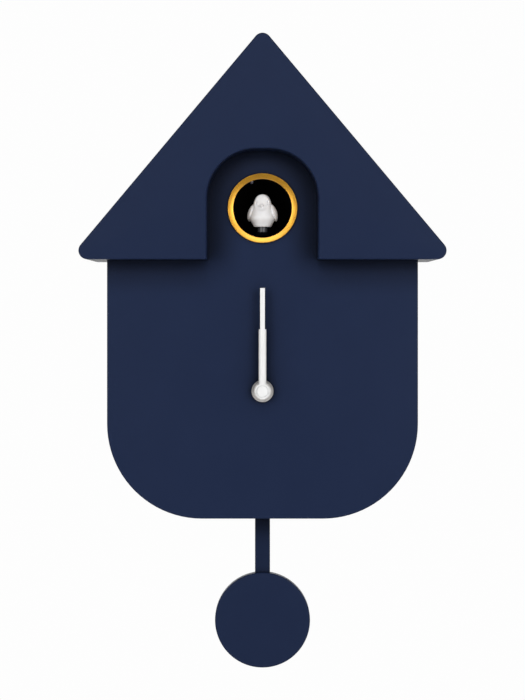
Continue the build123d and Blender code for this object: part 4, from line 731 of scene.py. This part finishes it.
@dataclass
class Bird:
    """White bird: domed torso on a plinth, with a flattened face, bead beak, eye dimples and folded wings."""

    turn: float = 6.0
    rings: int = 110
    facets: int = 192
    plinth: float = 1.45 * MM
    plinth_groove: float = 0.16 * MM
    groove_width: float = 0.12 * MM
    face_height: float = 14.4 * MM
    face_depth: float = 3.5 * MM
    face_lean: float = 0.3
    chest_from: float = 13.2 * MM
    chest_bulge: float = 120.0
    flatness: float = 0.12
    beak_height: float = 12.6 * MM
    beak_radius: float = 1.15 * MM
    beak_depth: float = 5.3 * MM
    beak_stretch: float = 1.25
    beak_droop: float = 0.12
    eye_x: float = 3.6 * MM
    eye_z: float = 14.5 * MM
    eye_size: tuple[float, float] = (0.4 * MM, 1.2 * MM)
    eye_depth: float = 1.1 * MM
    eye_draw: float = 0.6
    wing_middle: float = 8.45 * MM
    wing_rise: float = 5.2 * MM
    wing_half: float = 1.55 * MM
    wing_wrap: float = 0.6
    wing_sweep: float = 0.16
    wing_taper: float = 0.4
    wing_reach: tuple[float, float, float] = (7.35, 1.35, 0.65)

    def outline(self) -> list[tuple[float, float]]:
        """Half of the torso's outline from the plinth's foot to the crown: a smooth curve through knots.

        Returns:
            (radius, height) pairs in metres.
        """
        knots = [Vector(pair) * MM for pair in (
            (5.25, 0.1), (5.6, 0.75), (6.2, 2.0), (7.0, 3.4), (7.6, 4.8), (7.7, 6.2), (7.2, 8.3),
            (6.4, 10.5), (5.75, 12.4), (5.4, 13.8), (5.1, 15.1), (4.65, 16.4), (3.95, 17.6),
            (3.1, 18.6), (1.9, 19.3), (0.0, 19.65),
        )]
        knots = [2 * knots[0] - knots[1]] + knots + [Vector((-knots[-2].x, knots[-2].y))]
        spans = len(knots) - 3
        points = [(0.0, 0.0), (5.05 * MM, 0.0)]
        for step in range(self.rings + 1):
            share = min(step / self.rings * spans, spans - 1e-6)
            start, local = int(share), share % 1.0
            p0, p1, p2, p3 = knots[start:start + 4]
            point = 0.5 * (2 * p1 + (p2 - p0) * local + (2 * p0 - 5 * p1 + 4 * p2 - p3) * local ** 2
                           + (3 * p1 - p0 - 3 * p2 + p3) * local ** 3)
            groove = self.plinth_groove * math.exp(-((point.y - self.plinth) / self.groove_width) ** 2)
            points.append((max(0.0, point.x - groove), point.y))
        points[-1] = (0.0, points[-1][1])
        return points

    def torso(self) -> bmesh.types.BMesh:
        """Torso spun from its outline, with the face pressed flat and two eye dimples."""
        mesh = bmesh.new()
        points = [mesh.verts.new((radius, 0, height)) for radius, height in self.outline()]
        edges = [mesh.edges.new(pair) for pair in zip(points, points[1:])]
        bmesh.ops.spin(mesh, geom=points + edges, cent=(0, 0, 0), axis=(0, 0, 1), angle=2 * math.pi,
                       steps=self.facets, use_merge=True)
        bmesh.ops.remove_doubles(mesh, verts=mesh.verts, dist=1e-7)
        for vert in mesh.verts:
            self.press_face(vert.co)
        return mesh

    def press_face(self, point: Vector) -> None:
        """Moves one point of the torso onto the flattened face and into the eye dimples."""
        if point.y >= 0:
            return
        below = max(0.0, self.chest_from - point.z)
        lean = (self.face_height - point.z) * self.face_lean
        limit = -(self.face_depth + lean + self.chest_bulge * below ** 2)
        if point.y < limit and point.z > self.plinth:
            point.y = limit + (point.y - limit) * self.flatness
        across = (abs(point.x) - self.eye_x) / self.eye_size[0]
        along = (point.z - self.eye_z) / self.eye_size[1]
        dent = self.eye_depth * math.exp(-(across ** 2 + along ** 4))
        point.y += dent
        point.x -= math.copysign(dent * self.eye_draw, point.x)

    def beak(self) -> bmesh.types.BMesh:
        """Bead of a beak, drawn out a little forwards."""
        mesh = bmesh.new()
        bmesh.ops.create_uvsphere(mesh, u_segments=32, v_segments=20, radius=self.beak_radius)
        for vert in mesh.verts:
            if vert.co.y < 0:
                vert.co.y *= self.beak_stretch
                vert.co.z -= self.beak_droop * abs(vert.co.y)
        bmesh.ops.translate(mesh, verts=mesh.verts, vec=(0, -self.beak_depth, self.beak_height))
        return mesh

    def wing(self, side: int) -> bmesh.types.BMesh:
        """Folded wing: a leaf-shaped pad bent round the torso, whose tip stands off it.

        Args:
            side: 1 for +X, -1 for -X.

        Returns:
            The wing's bmesh, upright on the bird's own axis.
        """
        mesh = bmesh.new()
        bmesh.ops.create_uvsphere(mesh, u_segments=64, v_segments=48, radius=1.0)
        reach, lean, curve = self.wing_reach
        for vert in mesh.verts:
            out, along, up = vert.co
            middle = (reach - lean * up - curve * up ** 2) * MM
            leaf = 1.0 - self.wing_taper * max(0.0, -up) ** 2
            angle = along * self.wing_wrap * leaf + self.wing_sweep * max(0.0, -up)
            radius = middle + self.wing_half * out
            vert.co = Vector((side * radius * math.cos(angle), radius * math.sin(angle),
                              self.wing_middle + self.wing_rise * up))
        return mesh

    def build(self, look: bpy.types.Material) -> list[bpy.types.Object]:
        """Builds torso with beak and the two wings in the CAD bird's place, turned a little to one side."""
        low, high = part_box("bird_post")
        foot = Vector(((low.x + high.x) / 2, (low.y + high.y) / 2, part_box("bird_body")[0].z))
        placing = Matrix.Translation(foot) @ Matrix.Rotation(math.radians(-self.turn), 4, "Z")
        made = []
        for name, mesh, node in (("bird_torso", self.torso(), "bird_body"), ("bird_beak", self.beak(), None),
                                 ("bird_wing_l", self.wing(-1), "bird_wing_left"),
                                 ("bird_wing_r", self.wing(1), "bird_wing_right")):
            bmesh.ops.transform(mesh, matrix=placing, verts=mesh.verts)
            piece = placed(mesh, name, "bird", look, 60)
            if node:
                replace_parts(piece, node)
            made.append(piece)
        return made


@dataclass(frozen=True)
class Lamp:
    """One softbox, placed by angles from the clock's own forward axis."""

    side: float
    height: float
    distance: float
    width: float
    tall: float
    power: float

    def place(self, target: Vector) -> Vector:
        """Where the softbox stands."""
        side, height = math.radians(self.side), math.radians(self.height)
        level = math.cos(height)
        forward = Vector((math.sin(side) * level, -math.cos(side) * level, math.sin(height)))
        return target + forward * self.distance


@dataclass
class Studio:
    """Plain pale floor, soft lights and the camera."""

    camera_distance: float = 1.308
    camera_height: float = -0.100
    lens: float = 107.8
    shift_y: float = -0.0643
    floor_z: float = -0.60
    glow_start: float = 0.7
    glow_end: float = 1.3
    ambient: float = 0.055
    pale: float = 0.985
    bend_steps: int = 16
    aim: tuple[float, float, float] = (0.0, -0.05, -0.12)
    lamps: dict[str, Lamp] = field(default_factory=lambda: {
        "left": Lamp(-34.0, 8.0, 1.5, 0.7, 0.7, 8.7),
        "right": Lamp(34.0, 8.0, 1.5, 0.7, 0.7, 9.8),
        "above": Lamp(0.0, 24.0, 1.5, 0.7, 0.4, 3.3),
    })

    def build(self) -> None:
        """Builds floor, backdrop, lights, world and camera."""
        self.floor()
        for name, lamp in self.lamps.items():
            self.hang(name, lamp)
        self.world()
        self.camera()
        bpy.context.scene.view_settings.view_transform = "Standard"

    def floor(self) -> None:
        """One white sheet: a wide floor that curves up into a glowing backdrop far behind."""
        mesh = bmesh.new()
        width, near, far, height, bend = 7.0, -3.0, 3.0, 4.0, 1.2
        row = [mesh.verts.new((-width, depth, self.floor_z)) for depth in (near, far - bend)]
        for step in range(1, self.bend_steps + 1):
            turn = math.pi / 2 * step / self.bend_steps
            row.append(mesh.verts.new((-width, far - bend + bend * math.sin(turn),
                                       self.floor_z + bend * (1 - math.cos(turn)))))
        row.append(mesh.verts.new((-width, far, self.floor_z + height)))
        edges = [mesh.edges.new(pair) for pair in zip(row, row[1:])]
        swept = bmesh.ops.extrude_edge_only(mesh, edges=edges)
        moved = [item for item in swept["geom"] if isinstance(item, bmesh.types.BMVert)]
        bmesh.ops.translate(mesh, verts=moved, vec=(2 * width, 0, 0))
        mesh.normal_update()
        mesh.faces.ensure_lookup_table()
        if mesh.faces[0].normal.z < 0:
            bmesh.ops.reverse_faces(mesh, faces=mesh.faces)
        for face in mesh.faces:
            face.smooth = True
        data = bpy.data.meshes.new("floor")
        mesh.to_mesh(data)
        mesh.free()
        data.materials.append(self.paper())
        sheet = bpy.data.objects.new("floor", data)
        bpy.context.scene.collection.objects.link(sheet)

    def paper(self) -> bpy.types.Material:
        """White paper that glows towards the back, as a lit backdrop does, and shows evenly pale.

        Its underside is clear, so that the clock is seen from below too.
        """
        graph = Graph("floor_paper")
        place = graph.place()
        cloud = graph.noise(place, 0.4)
        _, y, _ = graph.axes(place)
        glow = y.stepped(self.glow_start, self.glow_end)
        paper = graph.node("ShaderNodeBsdfPrincipled", None, {
            "Base Color": graph.mixed(cloud, (0.9, 0.9, 0.9), (0.92, 0.92, 0.92)),
            "Roughness": 0.9,
            "Specular IOR Level": 0.1,
            "Emission Color": graph.mixed(glow, (0.0, 0.0, 0.0), (1.0, 1.0, 1.0)),
            "Emission Strength": 1.0,
        })
        white = opaque((1.0, 1.0, 1.0))
        even = graph.node("ShaderNodeEmission", None, {"Color": white, "Strength": self.pale})
        seen = graph.node("ShaderNodeLightPath").outputs["Is Camera Ray"]
        upper = graph.node("ShaderNodeMixShader", None, {0: seen, 1: paper.outputs[0], 2: even.outputs[0]})
        clear = graph.node("ShaderNodeBsdfTransparent")
        under = graph.node("ShaderNodeNewGeometry").outputs["Backfacing"]
        whole = graph.node("ShaderNodeMixShader", None, {0: under, 1: upper.outputs[0], 2: clear.outputs[0]})
        graph.node("ShaderNodeOutputMaterial", None, {0: whole.outputs[0]})
        return graph.material

    def hang(self, name: str, lamp: Lamp) -> None:
        """Adds one softbox aimed at the clock."""
        target = Vector(self.aim)
        light = bpy.data.lights.new(name, "AREA")
        light.shape = "RECTANGLE"
        light.size, light.size_y = lamp.width, lamp.tall
        light.energy = lamp.power
        holder = bpy.data.objects.new(name, light)
        bpy.context.scene.collection.objects.link(holder)
        holder.location = lamp.place(target)
        holder.rotation_euler = (target - holder.location).to_track_quat("-Z", "Y").to_euler()

    def world(self) -> None:
        """Pale surroundings that light the clock only a little."""
        world = bpy.data.worlds.new("studio")
        bpy.context.scene.world = world
        world.use_nodes = True
        tree = world.node_tree
        tree.nodes.clear()
        seen = tree.nodes.new("ShaderNodeBackground")
        seen.inputs[0].default_value = (self.pale, self.pale, self.pale, 1)
        fill = tree.nodes.new("ShaderNodeBackground")
        fill.inputs[0].default_value = (1, 1, 1, 1)
        fill.inputs[1].default_value = self.ambient
        path = tree.nodes.new("ShaderNodeLightPath")
        mix = tree.nodes.new("ShaderNodeMixShader")
        end = tree.nodes.new("ShaderNodeOutputWorld")
        tree.links.new(path.outputs["Is Camera Ray"], mix.inputs[0])
        tree.links.new(fill.outputs[0], mix.inputs[1])
        tree.links.new(seen.outputs[0], mix.inputs[2])
        tree.links.new(mix.outputs[0], end.inputs[0])

    def camera(self) -> None:
        """Camera square to the clock, on its axis."""
        lens = bpy.data.cameras.new("camera")
        lens.lens = self.lens
        lens.sensor_width = 36
        lens.shift_y = self.shift_y
        lens.clip_start = 0.05
        holder = bpy.data.objects.new("camera", lens)
        bpy.context.scene.collection.objects.link(holder)
        holder.location = (0, -self.camera_distance, self.camera_height)
        holder.rotation_euler = (math.pi / 2, 0, 0)
        bpy.context.scene.camera = holder


def main() -> None:
    """Builds and dresses everything in order."""
    logging.basicConfig(level=logging.INFO, format="%(name)s: %(message)s")
    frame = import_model()
    record = frame["record"]
    slots = {part["node"]: part["material_slot"] for part in record["subparts"]}
    looks = {slot: finish.material() for slot, finish in finishes(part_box("battery_cells")).items()}
    CadDress().dress(frame["nodes"], slots, looks)
    ring = WindowRing().build(looks["gold_ring"])
    LOG.info("built %s", ring.name)
    for piece in Bird().build(looks["bird_white"]):
        LOG.info("built %s", piece.name)
    Studio().build()


if __name__ == "__main__":
    main()
